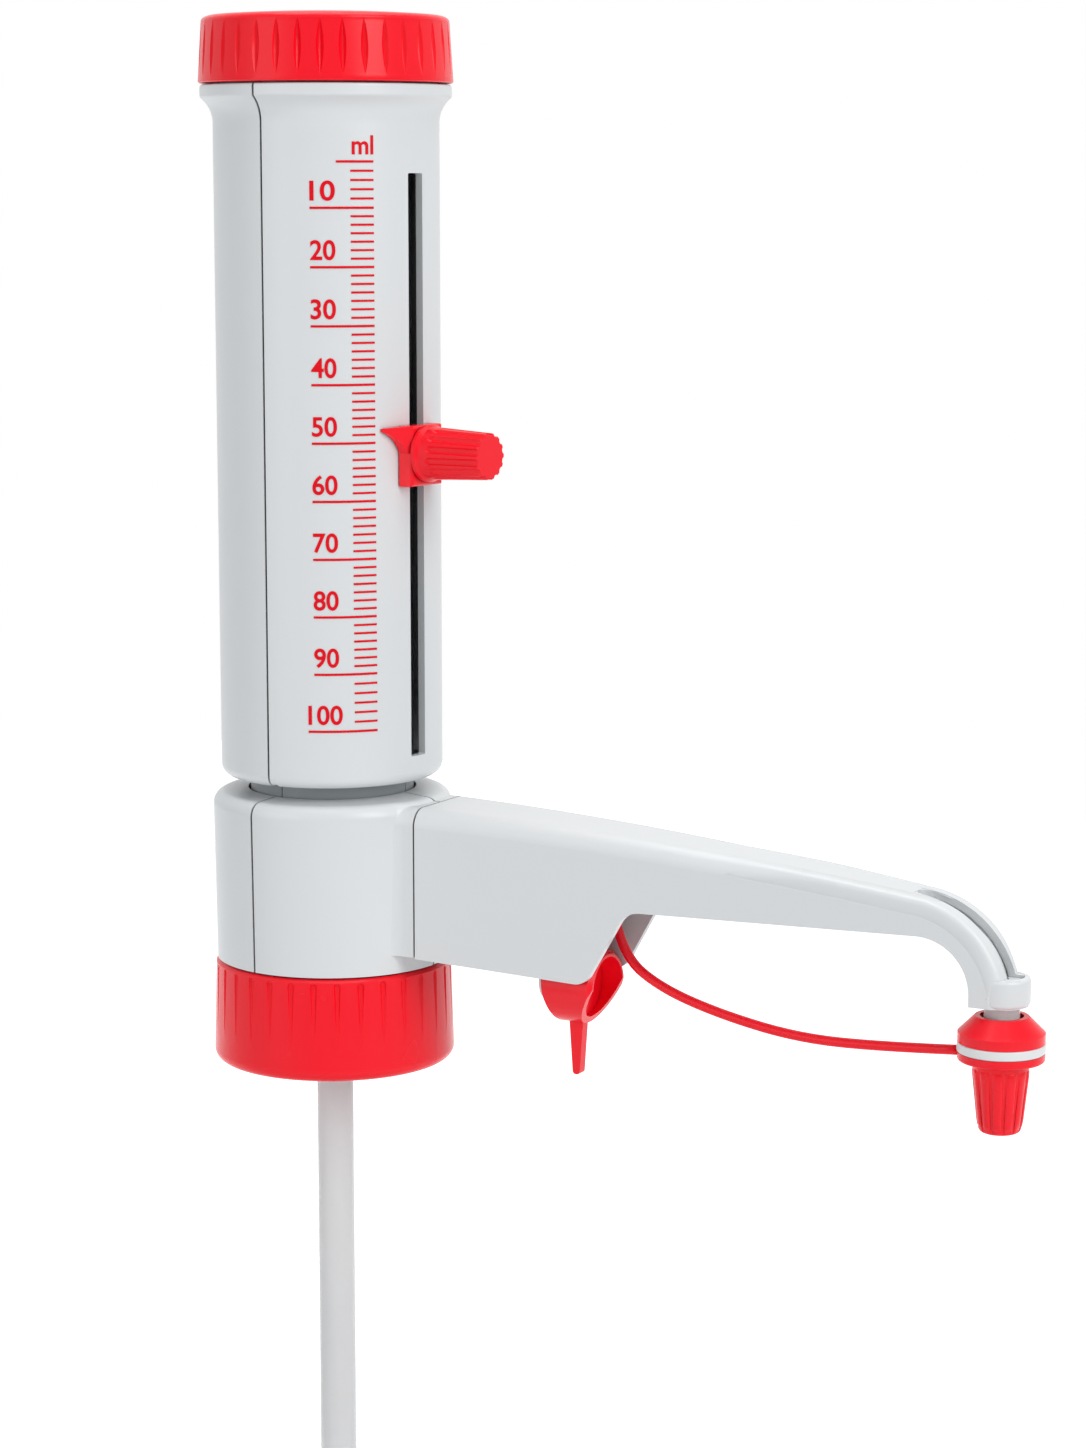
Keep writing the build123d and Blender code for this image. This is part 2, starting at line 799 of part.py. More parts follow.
slot_out = Vector(cos(radians(slot_angle)), sin(radians(slot_angle)), 0)
knob_axis = Axis((0, 0, knob_z), slot_out)
knob_plane = Plane(origin=(0, 0, knob_z), x_dir=slot_out, z_dir=slot_out.cross(Vector(0, 0, 1)))
with BuildPart() as knob_flute:
    start = Vector(knob_z0 + knob_flute_start, knob_root_r + knob_flute_lift)
    end = Vector(knob_end + 1, knob_tip_r + knob_flute_lift)
    deep_end = end - Vector(0, knob_flute_r)
    deep_start = start + Vector(1.6, -knob_flute_r)
    revolve(
        outline([start, end, deep_end, deep_start], knob_plane),
        axis=Axis(knob_plane.from_local_coords(start), slot_out * (end - start).X + Vector(0, 0, (end - start).Y)),
    )

with BuildPart() as clamp_knob:
    revolve(
        outline(
            [
                (knob_z0, 0),
                (knob_z0, knob_base_r),
                (knob_z0 + knob_base_t, knob_base_r),
                (knob_z0 + knob_base_t + 0.7, knob_root_r),
                (knob_end - 0.2, knob_tip_r),
                (knob_end, knob_tip_r - 0.2),
                (knob_end, 0),
            ],
            knob_plane,
        ),
        axis=knob_axis,
    )
    for turn in range(knob_flutes):
        add(knob_flute.part.rotate(knob_axis, 360 / knob_flutes * turn), mode=Mode.SUBTRACT)
    with BuildSketch(facing(0, knob_z, slot_angle)):
        Circle(screw_r)
    extrude(amount=knob_z0 + 10, mode=Mode.SUBTRACT)
finish(clamp_knob.part, "clamp_knob")

with BuildPart() as clamp_screw:
    with BuildSketch(facing(stop_back + 0.3, knob_z, slot_angle)):
        Circle(screw_r)
    extrude(amount=knob_z0 + 10 - stop_back - 0.3)
finish(clamp_screw.part, "clamp_screw")

# ================================================================ housing shells
with BuildPart() as boss:
    # the square boss that meets the discharge arm, flared where it leaves the housing
    with BuildSketch(level(boss_z)):
        Circle(body_foot_r - 0.2)
        with Locations((boss_x / 2, 0)):
            Rectangle(boss_x, 2 * boss_half)
        fillet([v for v in vertices() if v.X < boss_x - 1 and abs(v.Y) > boss_half - 1], boss_root)
    extrude(amount=boss_top - boss_z)
    top_edges = edges().group_by(Axis.Z)[-1]
    fillet([e for e in top_edges if e.center().X < boss_x - 0.5], boss_crown)

with BuildPart() as housing:
    revolve(
        outline(
            [
                (0, body_z),
                (body_foot_r, body_z),
                (body_top_r, body_top),
                (body_hole_r, body_top + body_rise),
                (0, body_top + body_rise),
            ]
        ),
        axis=Axis.Z,
    )
    add(boss.part)
    rim_at = (-body_top_r, 0, body_top)
    fillet(housing.edges().sort_by_distance(rim_at)[0], body_rim_fillet)
    # hollow
    revolve(
        outline(
            [
                (0, body_z + body_wall),
                (body_foot_r - body_wall, body_z + body_wall),
                (body_foot_r - body_wall, body_top - body_wall),
                (body_hole_r, body_top - body_wall + body_rise),
                (0, body_top - body_wall + body_rise),
            ]
        ),
        axis=Axis.Z,
        mode=Mode.SUBTRACT,
    )
    revolve(
        ring(0, body_hole_r, body_z + body_wall, body_top + 2 * body_rise), axis=Axis.Z, mode=Mode.SUBTRACT
    )
    revolve(ring(0, block_neck_r + slip, body_z - 1, body_top), axis=Axis.Z, mode=Mode.SUBTRACT)
    with BuildSketch(Plane.YZ):
        with Locations((0, (nose_z + nose_top) / 2)):
            Rectangle(2 * (nose_half + slip), nose_top - nose_z + 2 * slip)
    extrude(amount=2 * boss_x, mode=Mode.SUBTRACT)

for name, start, end in (
    ("body_near_shell", body_seam_angle, 0),
    ("body_far_shell", 0, 180),
    ("body_back_shell", 180, body_seam_angle + 360),
):
    with BuildPart() as body_shell:
        add(housing.part)
        add(wedge(start, end, body_seam, body_z, body_top + body_rise), mode=Mode.INTERSECT)
    finish(body_shell.part, name)

# ================================================================ discharge arm
bend_centre = Vector(bend_x, bend_z)
inner_centre = Vector(inner_bend_x, inner_bend_top - inner_bend_r)
bend_end = degrees(asin((collar2_z - bend_z) / bend_r))
nose_end = nozzle_x + 10


def round_end(inset):
    """The top line and the bend of the arm, drawn in by a wall, down to the nozzle's collar."""
    radius = bend_r - inset
    way = (cos(radians(bend_start)), sin(radians(bend_start)))
    tip = bend_centre + Vector(*way) * radius
    ThreePointArc((arm_x, arm_root_z - inset), Vector(*crown_mid) - Vector(0, inset), tip)
    bend = CenterArc(bend_centre, radius, bend_end, bend_start - bend_end)
    inner_r = inner_bend_r + inset
    foot = inner_centre + Vector(inner_r, 0)
    corner = Vector(foot.X, (bend @ 0).Y)
    Line(bend @ 0, corner)
    Line(corner, foot)
    return CenterArc(inner_centre, inner_r, 0, 90) @ 1


def plan(inset):
    """The arm from above: straight sides that draw in towards the nozzle."""
    near, far = arm_x - 1, nose_end
    near_half = arm_root_half - inset + arm_taper
    far_half = arm_root_half - inset - arm_taper * (far - arm_x)
    points = [(near, near_half), (far, far_half), (far, -far_half), (near, -near_half)]
    return outline(points, Plane.XY)


with BuildPart() as arm_hollow:
    with BuildSketch(Plane.XZ):
        with BuildLine():
            turn_in = round_end(arm_wall)
            Polyline(
                turn_in,
                (throat[0] + 5, throat[1] + arm_wall),
                (heel[0] + 8, 0),
                (arm_x, 0),
                (arm_x, arm_root_z - arm_wall),
            )
        make_face()
    extrude(amount=20, both=True)
    extrude(plan(arm_wall), amount=80, mode=Mode.INTERSECT)

with BuildPart() as spout_way:
    with BuildLine() as spout_line:
        turn_x = nozzle_x - spout_bend_r
        elbow = (nozzle_x, 0, spout_z)
        FilletPolyline((valve_end - 4, 0, spout_z), elbow, (nozzle_x, 0, collar2_z - 1.5), radius=spout_bend_r)
    with BuildSketch(Plane(origin=spout_line.line @ 0, z_dir=spout_line.line % 0)):
        Circle(spout_r + slip)
    sweep()

with BuildPart() as arm_cover:
    with BuildSketch(Plane.XZ):
        with BuildLine():
            Polyline(round_end(0), throat, heel, (arm_x, arm_foot_z), (arm_x, arm_root_z))
        make_face()
        corners = vertices()
        fillet(corners.sort_by_distance(Vector(*throat))[0], throat_fillet)
        fillet(vertices().sort_by_distance(Vector(*heel))[0], heel_fillet)
    extrude(amount=20, both=True)
    extrude(plan(0), amount=80, mode=Mode.INTERSECT)
    sides = arm_cover.edges().filter_by(lambda e: abs(e.center().Y) > 3)
    top_line = sides.sort_by_distance((crown_mid[0], 0, crown_mid[1]))[:2]
    fillet(top_line, arm_edge)
    with BuildSketch(Plane.XY.offset(collar2_z)):
        with Locations((nozzle_x, 0)):
            Circle(collar2_r)
    extrude(amount=collar2_top - collar2_z)
    add(arm_hollow.part, mode=Mode.SUBTRACT)
    add(spout_way.part, mode=Mode.SUBTRACT)
    with BuildSketch(Plane.XY.offset(collar2_z - 1)):
        with Locations((nozzle_x, 0)):
            Circle(nozzle_r + running)
    extrude(amount=spout_z - spout_bend_r + 1.6 - collar2_z + 1, mode=Mode.SUBTRACT)
    # the long slot over the bend that leaves the spout in sight
    with BuildSketch(Plane.XZ):
        with BuildLine():
            head = bend_centre + Vector(0.9, bend_r + 1)
            Polyline(head, (head.X, spout_z), (turn_x, spout_z), (turn_x + 9, spout_z - 9))
            low = collar2_top - 0.7
            Polyline((turn_x + 9, spout_z - 9), (nozzle_x, low), (nozzle_x + 8, low), (nozzle_x + 8, head.Y), head)
        make_face()
    extrude(amount=slot_half, both=True, mode=Mode.SUBTRACT)
    # peg that the tether's eye hangs on
    with BuildSketch(Plane.XZ.offset(-arm_root_half + 3)):
        with Locations((peg_x, peg_z)):
            Circle(peg_r)
    extrude(amount=2 * arm_root_half - 6)
finish(arm_cover.part, "arm_cover")

# ================================================================ recirculation valve
with BuildPart() as inlet_tube:
    with BuildSketch(Plane.YZ.offset(well_x + well_r + 1)):
        with Locations((0, outlet_z)):
            Circle(tube_r)
            Circle(tube_bore_r, mode=Mode.SUBTRACT)
    extrude(amount=valve_x + 6 - well_x - well_r - 1)
finish(inlet_tube.part, "inlet_tube")

with BuildPart() as return_tube:
    with BuildSketch(Plane.YZ.offset(return_x + channel_r)):
        with Locations((return_y, return_z)):
            Circle(tube_r)
            Circle(tube_bore_r, mode=Mode.SUBTRACT)
    extrude(amount=valve_x + 6 - return_x - channel_r)
finish(return_tube.part, "return_tube")

with BuildPart() as recirculation_valve:
    with BuildSketch(Plane.YZ.offset(valve_x)):
        with Locations((0, (valve_foot + valve_top) / 2)):
            RectangleRounded(2 * valve_half, valve_top - valve_foot, 1.2)
    extrude(amount=valve_end - valve_x)
    with BuildSketch(Plane.YZ.offset(stator_x)):
        with Locations((0, drum_z)):
            Circle(stator_r)
        with Locations((0, (drum_z + valve_foot + 2) / 2)):
            Rectangle(2 * stator_r, valve_foot + 2 - drum_z)
    extrude(amount=valve_end - stator_x)
    with BuildSketch(Plane.YZ.offset(stator_x)):
        with Locations((0, drum_z)):
            Circle(stator_r)
    extrude(amount=drum_hub - drum_hub_t - slip - stator_x)
    # sockets for the tubes
    for y, z in ((0, outlet_z), (return_y, return_z)):
        with BuildSketch(Plane.YZ.offset(valve_x)):
            with Locations((y, z)):
                Circle(tube_r + running)
        extrude(amount=6, mode=Mode.SUBTRACT)
        with BuildSketch(Plane.YZ.offset(valve_x + 6)):
            with Locations((y, z)):
                Circle(tube_bore_r)
        extrude(amount=port_x - valve_x - 6, mode=Mode.SUBTRACT)
    with BuildSketch(Plane.YZ.offset(valve_end)):
        with Locations((0, spout_z)):
            Circle(spout_r + running)
    extrude(amount=-5, mode=Mode.SUBTRACT)
    with BuildSketch(Plane.XY.offset(outlet_z)):
        with Locations((valve_end - 5, 0)):
            Circle(spout_bore_r)
    extrude(amount=spout_z - outlet_z, mode=Mode.SUBTRACT)
    # both ports drop to the plug, the return one by way of a cross drilling
    with BuildSketch(Plane.XY.offset(drum_z)):
        with Locations((port_x, -port_y), (port_x, port_y)):
            Circle(port_r)
    extrude(amount=return_z - drum_z, mode=Mode.SUBTRACT)
    with BuildSketch(Plane.XY.offset(return_z)):
        with Locations((port_x, -port_y)):
            Circle(port_r)
    extrude(amount=outlet_z - return_z, mode=Mode.SUBTRACT)
    with BuildSketch(Plane.XZ.offset(-return_y)):
        with Locations((port_x, return_z)):
            Circle(port_r)
    extrude(amount=return_y - port_y, mode=Mode.SUBTRACT)
    with BuildSketch(Plane.YZ.offset(stator_x)):
        with Locations((0, drum_z)):
            Circle(spindle_r + running)
    extrude(amount=20, mode=Mode.SUBTRACT)
finish(recirculation_valve.part, "recirculation_valve")

with BuildPart() as recirculation_plug:
    with BuildSketch(Plane.YZ.offset(stator_x)):
        with Locations((0, drum_z)):
            Circle(spindle_r)
    extrude(amount=drum_hub - drum_hub_t - stator_x)
    # groove that joins the two ports while the lever hangs down
    with BuildSketch(Plane.XZ):
        with Locations((port_x, drum_z + spindle_r - port_r)):
            Circle(port_r)
    extrude(amount=spindle_r, both=True, mode=Mode.SUBTRACT)
finish(recirculation_plug.part, "recirculation_plug")

drum_axis = Axis((0, 0, drum_z), (1, 0, 0))
with BuildPart() as recirculation_knob:
    with BuildSketch(Plane.XZ):
        with BuildLine():
            inner = drum_r - drum_wall
            Polyline(
                (drum_back, drum_z + drum_r - 0.6),
                (drum_back + 0.6, drum_z + drum_r),
                (drum_front - 0.9, drum_z + drum_r),
                (drum_front, drum_z + drum_r - 0.9),
                (drum_front, drum_z + inner),
                (drum_hub, drum_z + inner),
                (drum_hub, drum_z),
                (drum_hub - drum_hub_t, drum_z),
                (drum_hub - drum_hub_t, drum_z + inner),
                (drum_back, drum_z + inner),
                close=True,
            )
        make_face()
    revolve(axis=drum_axis)
    # the drum's rims fall back towards the lever
    for rim_line in (
        [(drum_back - 1, drum_z + 3), (drum_back, drum_z + 2), (drum_back + 2.4, drum_z - drum_r)],
        [(drum_front + 1, drum_z + 2.8), (drum_front, drum_z + 0.8), (drum_hub + 0.6, drum_z - drum_r)],
    ):
        end_x = rim_line[0][0]
        with BuildSketch(Plane.XZ):
            with BuildLine():
                foot = drum_z - drum_r - 1
                Polyline(*rim_line, (rim_line[-1][0], foot), (end_x, foot), close=True)
            make_face()
        extrude(amount=drum_r, both=True, mode=Mode.SUBTRACT)
    # the lever
    with BuildSketch(Plane.XZ):
        with BuildLine():
            root_z = drum_z - drum_r + drum_wall
            Polyline(
                (finger_x - finger_top_w / 2, root_z),
                (finger_x + finger_top_w / 2, root_z),
                (finger_x + finger_tip_w / 2, finger_tip_z),
                (finger_x - finger_tip_w / 2, finger_tip_z),
                close=True,
            )
        make_face()
        fillet(vertices().group_by(Axis.Y)[0], finger_tip_w * 0.45)
    extrude(amount=finger_half, both=True)
finish(recirculation_knob.part, "recirculation_knob")

with BuildPart() as discharge_tube:
    with BuildLine() as tube_line:
        FilletPolyline((valve_end - 4.5, 0, spout_z), elbow, (nozzle_x, 0, collar2_z - 1.4), radius=spout_bend_r)
    with BuildSketch(Plane(origin=tube_line.line @ 0, z_dir=tube_line.line % 0)):
        Circle(spout_r)
        Circle(spout_bore_r, mode=Mode.SUBTRACT)
    sweep()
finish(discharge_tube.part, "discharge_tube")

nozzle_top = spout_z - spout_bend_r + 1.3
with BuildPart() as nozzle_tip:
    revolve(
        outline(
            [
                (nozzle_x + 1.0, nozzle_foot),
                (nozzle_x + nozzle_r - 1.2, nozzle_foot),
                (nozzle_x + nozzle_r, nozzle_foot + 5),
                (nozzle_x + nozzle_r, nozzle_top),
                (nozzle_x + spout_r + 0.15, nozzle_top),
                (nozzle_x + spout_r + 0.15, collar2_z - 1.4),
                (nozzle_x + 1.0, collar2_z - 1.4),
            ]
        ),
        axis=Axis((nozzle_x, 0, 0), (0, 0, 1)),
    )
finish(nozzle_tip.part, "nozzle_tip")

# ================================================================ nozzle closure
nozzle_axis = Axis((nozzle_x, 0, 0), (0, 0, 1))


def about_nozzle(points):
    return outline([(nozzle_x + r, z) for r, z in points])


with BuildPart() as cap_cone:
    revolve(
        about_nozzle(
            [
                (neck_r + running, cone_foot),
                (cone_r, cone_foot),
                (cone_r, cone_foot + cone_side),
                (rim_r, rim_z),
                (rim_bore_r, rim_z),
                (rim_bore_r, rim_z - 1.6),
                (neck_r + running, rim_z - 1.6),
            ]
        ),
        axis=nozzle_axis,
    )
finish(cap_cone.part, "cap_cone")

with BuildPart() as seal_ring:
    revolve(
        about_nozzle(
            [
                (neck_r + running, band_z),
                (band_r, band_z),
                (band_r, cone_foot),
                (neck_r + running, cone_foot),
            ]
        ),
        axis=nozzle_axis,
    )
    fillet(seal_ring.edges().filter_by(GeomType.CIRCLE).group_by(SortBy.RADIUS)[-1], 0.4)
finish(seal_ring.part, "seal_ring")

with BuildPart() as tether_ring:
    revolve(
        about_nozzle(
            [
                (neck_r + running, ring_z),
                (cone_r, ring_z),
                (cone_r, band_z),
                (neck_r + running, band_z),
            ]
        ),
        axis=nozzle_axis,
    )
    fillet(tether_ring.edges().filter_by(GeomType.CIRCLE).group_by(SortBy.RADIUS)[-1].sort_by(Axis.Z)[0], 0.6)
finish(tether_ring.part, "tether_ring")

with BuildPart() as cap_grip:
    revolve(
        about_nozzle(
            [
                (0, grip_foot),
                (grip_tip_r, grip_foot),
                (grip_r, ring_z - 1.0),
                (grip_r, ring_z),
                (neck_r, ring_z),
                (neck_r, rim_z - 1.6),
                (grip_bore_r, rim_z - 1.6),
                (grip_bore_r, nozzle_foot + 3),
                (grip_bore_r - 1.2, grip_foot + 2.2),
                (0, grip_foot + 2.2),
            ]
        ),
        axis=nozzle_axis,
    )
    tip_rim = cap_grip.edges().filter_by(GeomType.CIRCLE).group_by(Axis.Z)[0]
    fillet(tip_rim, 1.1)
    for turn in range(grip_flutes):
        angle = radians(360 / grip_flutes * turn)
        out = Vector(cos(angle), sin(angle), 0)
        low = Vector(nozzle_x, 0, grip_foot - 1) + out * (grip_tip_r + 0.15)
        high = Vector(nozzle_x, 0, ring_z - 1.6) + out * (grip_r + 0.35)
        with BuildSketch(Plane(origin=low, z_dir=high - low)):
            Circle(0.55)
        extrude(amount=(high - low).length, mode=Mode.SUBTRACT)
finish(cap_grip.part, "cap_grip")

# ================================================================ tether
with BuildPart() as tether_eye:
    with BuildSketch(Plane.XZ):
        with Locations((peg_x, peg_z)):
            Circle(eye_r)
            Circle(peg_r + slip, mode=Mode.SUBTRACT)
    extrude(amount=tether_r, both=True)
finish(tether_eye.part, "tether_eye")

root_way = (Vector(*tether_route[1]) - Vector(peg_x, peg_z)).normalized()
route = [Vector(peg_x, peg_z) + root_way * (eye_r + 0.15)]
route += [Vector(*point) for point in tether_route[1:]]
bends = []
for before, here, after in zip(route, route[1:], route[2:]):
    turn = (here - before).get_angle(after - here)
    run = min((here - before).length, (after - here).length)
    bends.append(0.45 * run / tan(radians(turn / 2)))
print("tether", [round(b, 1) for b in bends], [(round(p.X, 2), round(p.Y, 2)) for p in route])
with BuildPart() as tether_strap:
    with BuildLine() as tether_line:
        FilletPolyline(*[(p.X, 0, p.Y) for p in route], radius=bends)
    with BuildSketch(Plane(origin=tether_line.line @ 0, z_dir=tether_line.line % 0)):
        Circle(tether_r)
    sweep()
finish(tether_strap.part, "tether_strap")
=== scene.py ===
"""Dresses the bottle top dispenser: mouldings, scale, cap, closure, tether, thread and stage."""

import json
from math import atan2, cos, pi, radians, sin

import bmesh
import bpy
from mathutils import Euler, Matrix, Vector


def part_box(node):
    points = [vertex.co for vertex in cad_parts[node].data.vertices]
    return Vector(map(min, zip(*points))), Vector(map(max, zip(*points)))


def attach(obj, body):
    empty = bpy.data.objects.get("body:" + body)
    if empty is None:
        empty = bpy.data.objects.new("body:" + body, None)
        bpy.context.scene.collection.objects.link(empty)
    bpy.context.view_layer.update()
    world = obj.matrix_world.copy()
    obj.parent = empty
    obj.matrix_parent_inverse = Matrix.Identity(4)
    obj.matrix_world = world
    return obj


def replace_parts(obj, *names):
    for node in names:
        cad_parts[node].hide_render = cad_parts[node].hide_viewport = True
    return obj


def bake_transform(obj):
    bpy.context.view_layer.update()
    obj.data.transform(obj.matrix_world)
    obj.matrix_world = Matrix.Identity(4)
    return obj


bl_info = {
    "name": "Bottle Top Dispenser",
    "version": (1, 0, 0),
    "blender": (4, 5, 0),
    "location": "View3D > Sidebar > Dispenser",
    "description": "Finishes a bottle top dispenser and sets it on a pale stage",
    "category": "Object",
}

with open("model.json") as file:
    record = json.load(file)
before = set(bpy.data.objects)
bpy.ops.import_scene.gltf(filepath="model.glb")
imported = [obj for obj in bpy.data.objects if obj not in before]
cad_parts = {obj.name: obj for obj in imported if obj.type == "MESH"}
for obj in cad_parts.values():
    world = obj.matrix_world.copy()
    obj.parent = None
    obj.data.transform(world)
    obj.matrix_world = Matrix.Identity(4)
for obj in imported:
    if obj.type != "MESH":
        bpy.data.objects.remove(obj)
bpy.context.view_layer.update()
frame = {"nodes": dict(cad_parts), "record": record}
nodes = frame["nodes"]
cap_low, cap_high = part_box("top_cap")

# Lengths are in metres and angles in degrees, unless a name says otherwise.
# ------------------------------------------------------------------ steps and tolerances
QUARTER = tuple(radians(15 * step) for step in range(7))
TOUCH = 1e-7
WELD = 1e-6

# ------------------------------------------------------------------ printed scale
# The ends of the lines are angles round the barrel, counted from the slot.
BARREL_R = 0.0252
SLOT_ANGLE = -7.2
SCALE_ZERO = 0.2042
SCALE_FIRST = 0.1943
SCALE_FULL = 0.07955
SCALE_ML = 100
DECADE = 10
PRINT_LIFT = 0.00006
PRINT_DEPTH = 0.00004
LINE_RIGHT = -26.7
TICK_LEFT = -38.7
ZERO_LEFT = -45.8
DECADE_LEFT = -58.9
FULL_LEFT = -62.1
FIRST_TICKS = 4
DECADE_TICKS = 6
LAST_TICKS = 5
TICK_T = 0.00045
FIGURE_RISE = 0.0015
FIGURE_W = 0.0055
FULL_FIGURE_W = 0.0076
FIGURE_WEIGHT = 0.016
FIGURE_CURVE_STEPS = 6
UNIT_W = 0.0049
UNIT_H = 0.0041
WRAP_STEP = 0.0006

# ------------------------------------------------------------------ tether
TETHER_R = 0.0011
TETHER_ROUTE = (
    (0.07353, 0.0, 0.03876),
    (0.0756, 0.0, 0.0312),
    (0.0848, 0.0, 0.0252),
    (0.0994, 0.0, 0.0210),
    (0.11745, 0.0, 0.0181),
    (0.13605, 0.0, 0.0184),
    (0.15505, 0.0, 0.0200),
)
TETHER_STEPS = 12
TETHER_BEVEL_STEPS = 5

# ------------------------------------------------------------------ collar thread
THREAD_TOP_R = 0.0227
THREAD_CREST_R = 0.0217
THREAD_PITCH = 0.004
THREAD_ROOT_HALF = THREAD_PITCH * 0.34
THREAD_CREST_HALF = THREAD_PITCH * 0.14
THREAD_TURNS = 2.6
THREAD_START = 0.0035
THREAD_STEPS = 64

# ------------------------------------------------------------------ bend of the arm
# The arm's top line runs through three points into the bend, and its sides draw in
# towards the nozzle.
ARM_TOP_LINE = ((0.0290, 0.0618), (0.0900, 0.0589), (0.14650, 0.05304))
ARM_HALF = 0.012
ARM_TAPER = 0.0448
ARM_ROOT = 0.0290
ARM_EDGE = 0.0040
BURIED_EDGE = 0.0043
CRISP_EDGE = 0.0014
COLLAR_EDGE = 0.0024
LIP_START = 0.096
LIP_FULL = 0.128
BEND_AT = (0.1443, 0.03015)
BEND_R = 0.023
BEND_ANGLES = (84.0, 5.0)
BEND_STEPS = 27
NECK_ANGLES = (45.0, 17.0)
LIP_COVER = 0.0002
LIP_MARGIN = 1.5 * LIP_COVER
SLOT_HALF = 0.0025
SLOT_HEAD = 0.1452
SLOT_FLOOR = 0.0489
SLOT_CORNER_STEPS = 8
SLOT_CORNER_TURN = 90.0
NOZZLE_X = 0.1644
NECK_R = 0.00592
NECK_IN = 0.0046
NECK_FOOT = 0.0309
NECK_TOP = 0.03705
NECK_EDGE = 0.0009
NECK_STEPS = 72
LIP_CREASE = 35

# ------------------------------------------------------------------ top cap, counted from its foot
CAP_FLUTES = 36
CAP_DRAFT = 0.063
CAP_FOOT_EDGE = 0.0005
CAP_FOOT_STEPS = 3
CAP_CROWN_EDGE = 0.0026
CAP_CROWN_GAP = 0.00005
CAP_CROWN_STEP = 0.0001
CAP_DOME = 0.0009
CAP_DOME_RINGS = 6
CAP_BORE_R = 0.0253
CAP_ROOF = 0.0122
CAP_CREASE = 28
FLUTE_FOOT = 0.0014
FLUTE_HEAD = 0.0134
FLUTE_HALF = 0.00085
FLUTE_LEAST_HALF = 0.00003
FLUTE_DEPTH = 0.00085
FLUTE_POINT = 0.8
FLUTE_ROWS = 18
FLUTE_COLUMNS = (-1.0, -0.72, -0.38, 0.0, 0.38, 0.72, 1.0)

# ------------------------------------------------------------------ ribs of the closure's grip
# The grip's taper is given by its radius and height at the tip and at the top. A rib's
# section is given by its share of the half width and how far it stands out.
GRIP_RIBS = 12
GRIP_TIP = (0.0044, 0.0036)
GRIP_TOP = (0.00595, 0.0180)
RIB_FOOT = 0.0042
RIB_HEAD = 0.0179
RIB_ROWS = 12
RIB_HALF = 11.8
RIB_RISE = 3.2
RIB_SINK = 0.00015
RIB_SECTION = (
    (-0.9, -0.00025),
    (-1.0, -0.00010),
    (-0.9, 0.00012),
    (-0.55, 0.00022),
    (0.0, 0.00026),
    (0.55, 0.00022),
    (0.9, 0.00012),
    (1.0, -0.00010),
    (0.9, -0.00025),
)

# ------------------------------------------------------------------ surfaces
COLOUR, NUMBER, DIRECTION = "NodeSocketColor", "NodeSocketFloat", "NodeSocketVector"
WHITE = (1.0, 1.0, 1.0, 1.0)
MOTTLE_SCALE = 45.0
MOTTLE_DETAIL = 3.0
GRAIN_SCALE = 900.0
GRAIN_DETAIL = 2.0
GRAIN_DEPTH = 0.0001
ROUGHNESS_SPREAD = 0.08
RUBBED_CORNERS = (0.53, 0.62)
# Painted shade in narrow gaps and concave corners: the occlusion range that darkens the colour,
# and its samples.
SEAM_SHADE_OPENNESS = (0.25, 0.6)
SEAM_SHADE_SAMPLES = 6
COAT_ROUGHNESS = 0.12

# ------------------------------------------------------------------ camera and stage
CAMERA_AT = (0.4252, -0.6676, 0.2030)
CAMERA_PITCH = 9.04
CAMERA_FORWARD = (-0.4848, 0.8746)
CAMERA_LENS = 87.03
CAMERA_SENSOR = 36.0
CAMERA_NEAR = 0.05
UPRIGHT = radians(90)
FLOOR_Z = -0.245
FLOOR_REACH = 1.6
FLOOR_ROUGHNESS = 0.9
GLOW_NEAR = (0.15, 0.0)
GLOW_FAR = (0.6, 0.9)
ROOM_COLOUR = (0.93, 0.96, 1.0, 1.0)
ROOM_STRENGTH = 0.36
LAMP_TARGET = (0.04, 0, 0.1)
LAMPS = (
    ("key_lamp", (1.0, -0.3, 0.7), (0.5, 0.9), 7.0),
    ("fill_lamp", (-0.35, -0.9, 0.35), (0.6, 0.9), 2.3),
    ("top_lamp", (0.0, 0.1, 1.0), (0.7, 0.7), 4.2),
)


# ------------------------------------------------------------------ settings
def user_size(label, note, value):
    return bpy.props.FloatProperty(
        name=label, description=note, default=value, unit="LENGTH", precision=5
    )


def user_colour(label, note, value):
    return bpy.props.FloatVectorProperty(
        name=label, description=note, default=value, size=3, subtype="COLOR", min=0.0, max=1.0
    )


class DispenserSettings(bpy.types.PropertyGroup):
    """Sizes and colours of the dispenser's finish."""

    line_width: user_size("Scale line", "Thickness of the scale's long lines", 0.0005)
    figure_height: user_size("Figures", "Height of the scale's figures", 0.00435)
    red: user_colour("Red plastic", "Collar, cap, slider, knobs and tether", (0.97, 0.003, 0.016))
    grey: user_colour("Pale plastic", "Barrel, housing and arm", (0.73, 0.75, 0.755))
    sleeve: user_colour("Sleeve plastic", "Sleeve round the cylinder", (0.33, 0.36, 0.37))
    block: user_colour("Valve plastic", "Valve block and its fittings", (0.055, 0.058, 0.062))
    white: user_colour("White plastic", "Seals and piston", (0.80, 0.80, 0.80))
    ink: user_colour("Scale ink", "Printed scale", (0.80, 0.002, 0.012))
    backdrop: user_colour("Backdrop", "Floor and surroundings", (0.985, 0.985, 0.985))


def settings():
    return bpy.context.scene.dispenser


# ------------------------------------------------------------------ shader nodes
def add_node(tree, kind, values=None, **own):
    """A new shader node with its own settings and the values of its unlinked sockets."""
    node = tree.nodes.new(kind)
    for label, value in own.items():
        setattr(node, label, value)
    for socket, value in (values or {}).items():
        node.inputs[socket].default_value = value
    return node


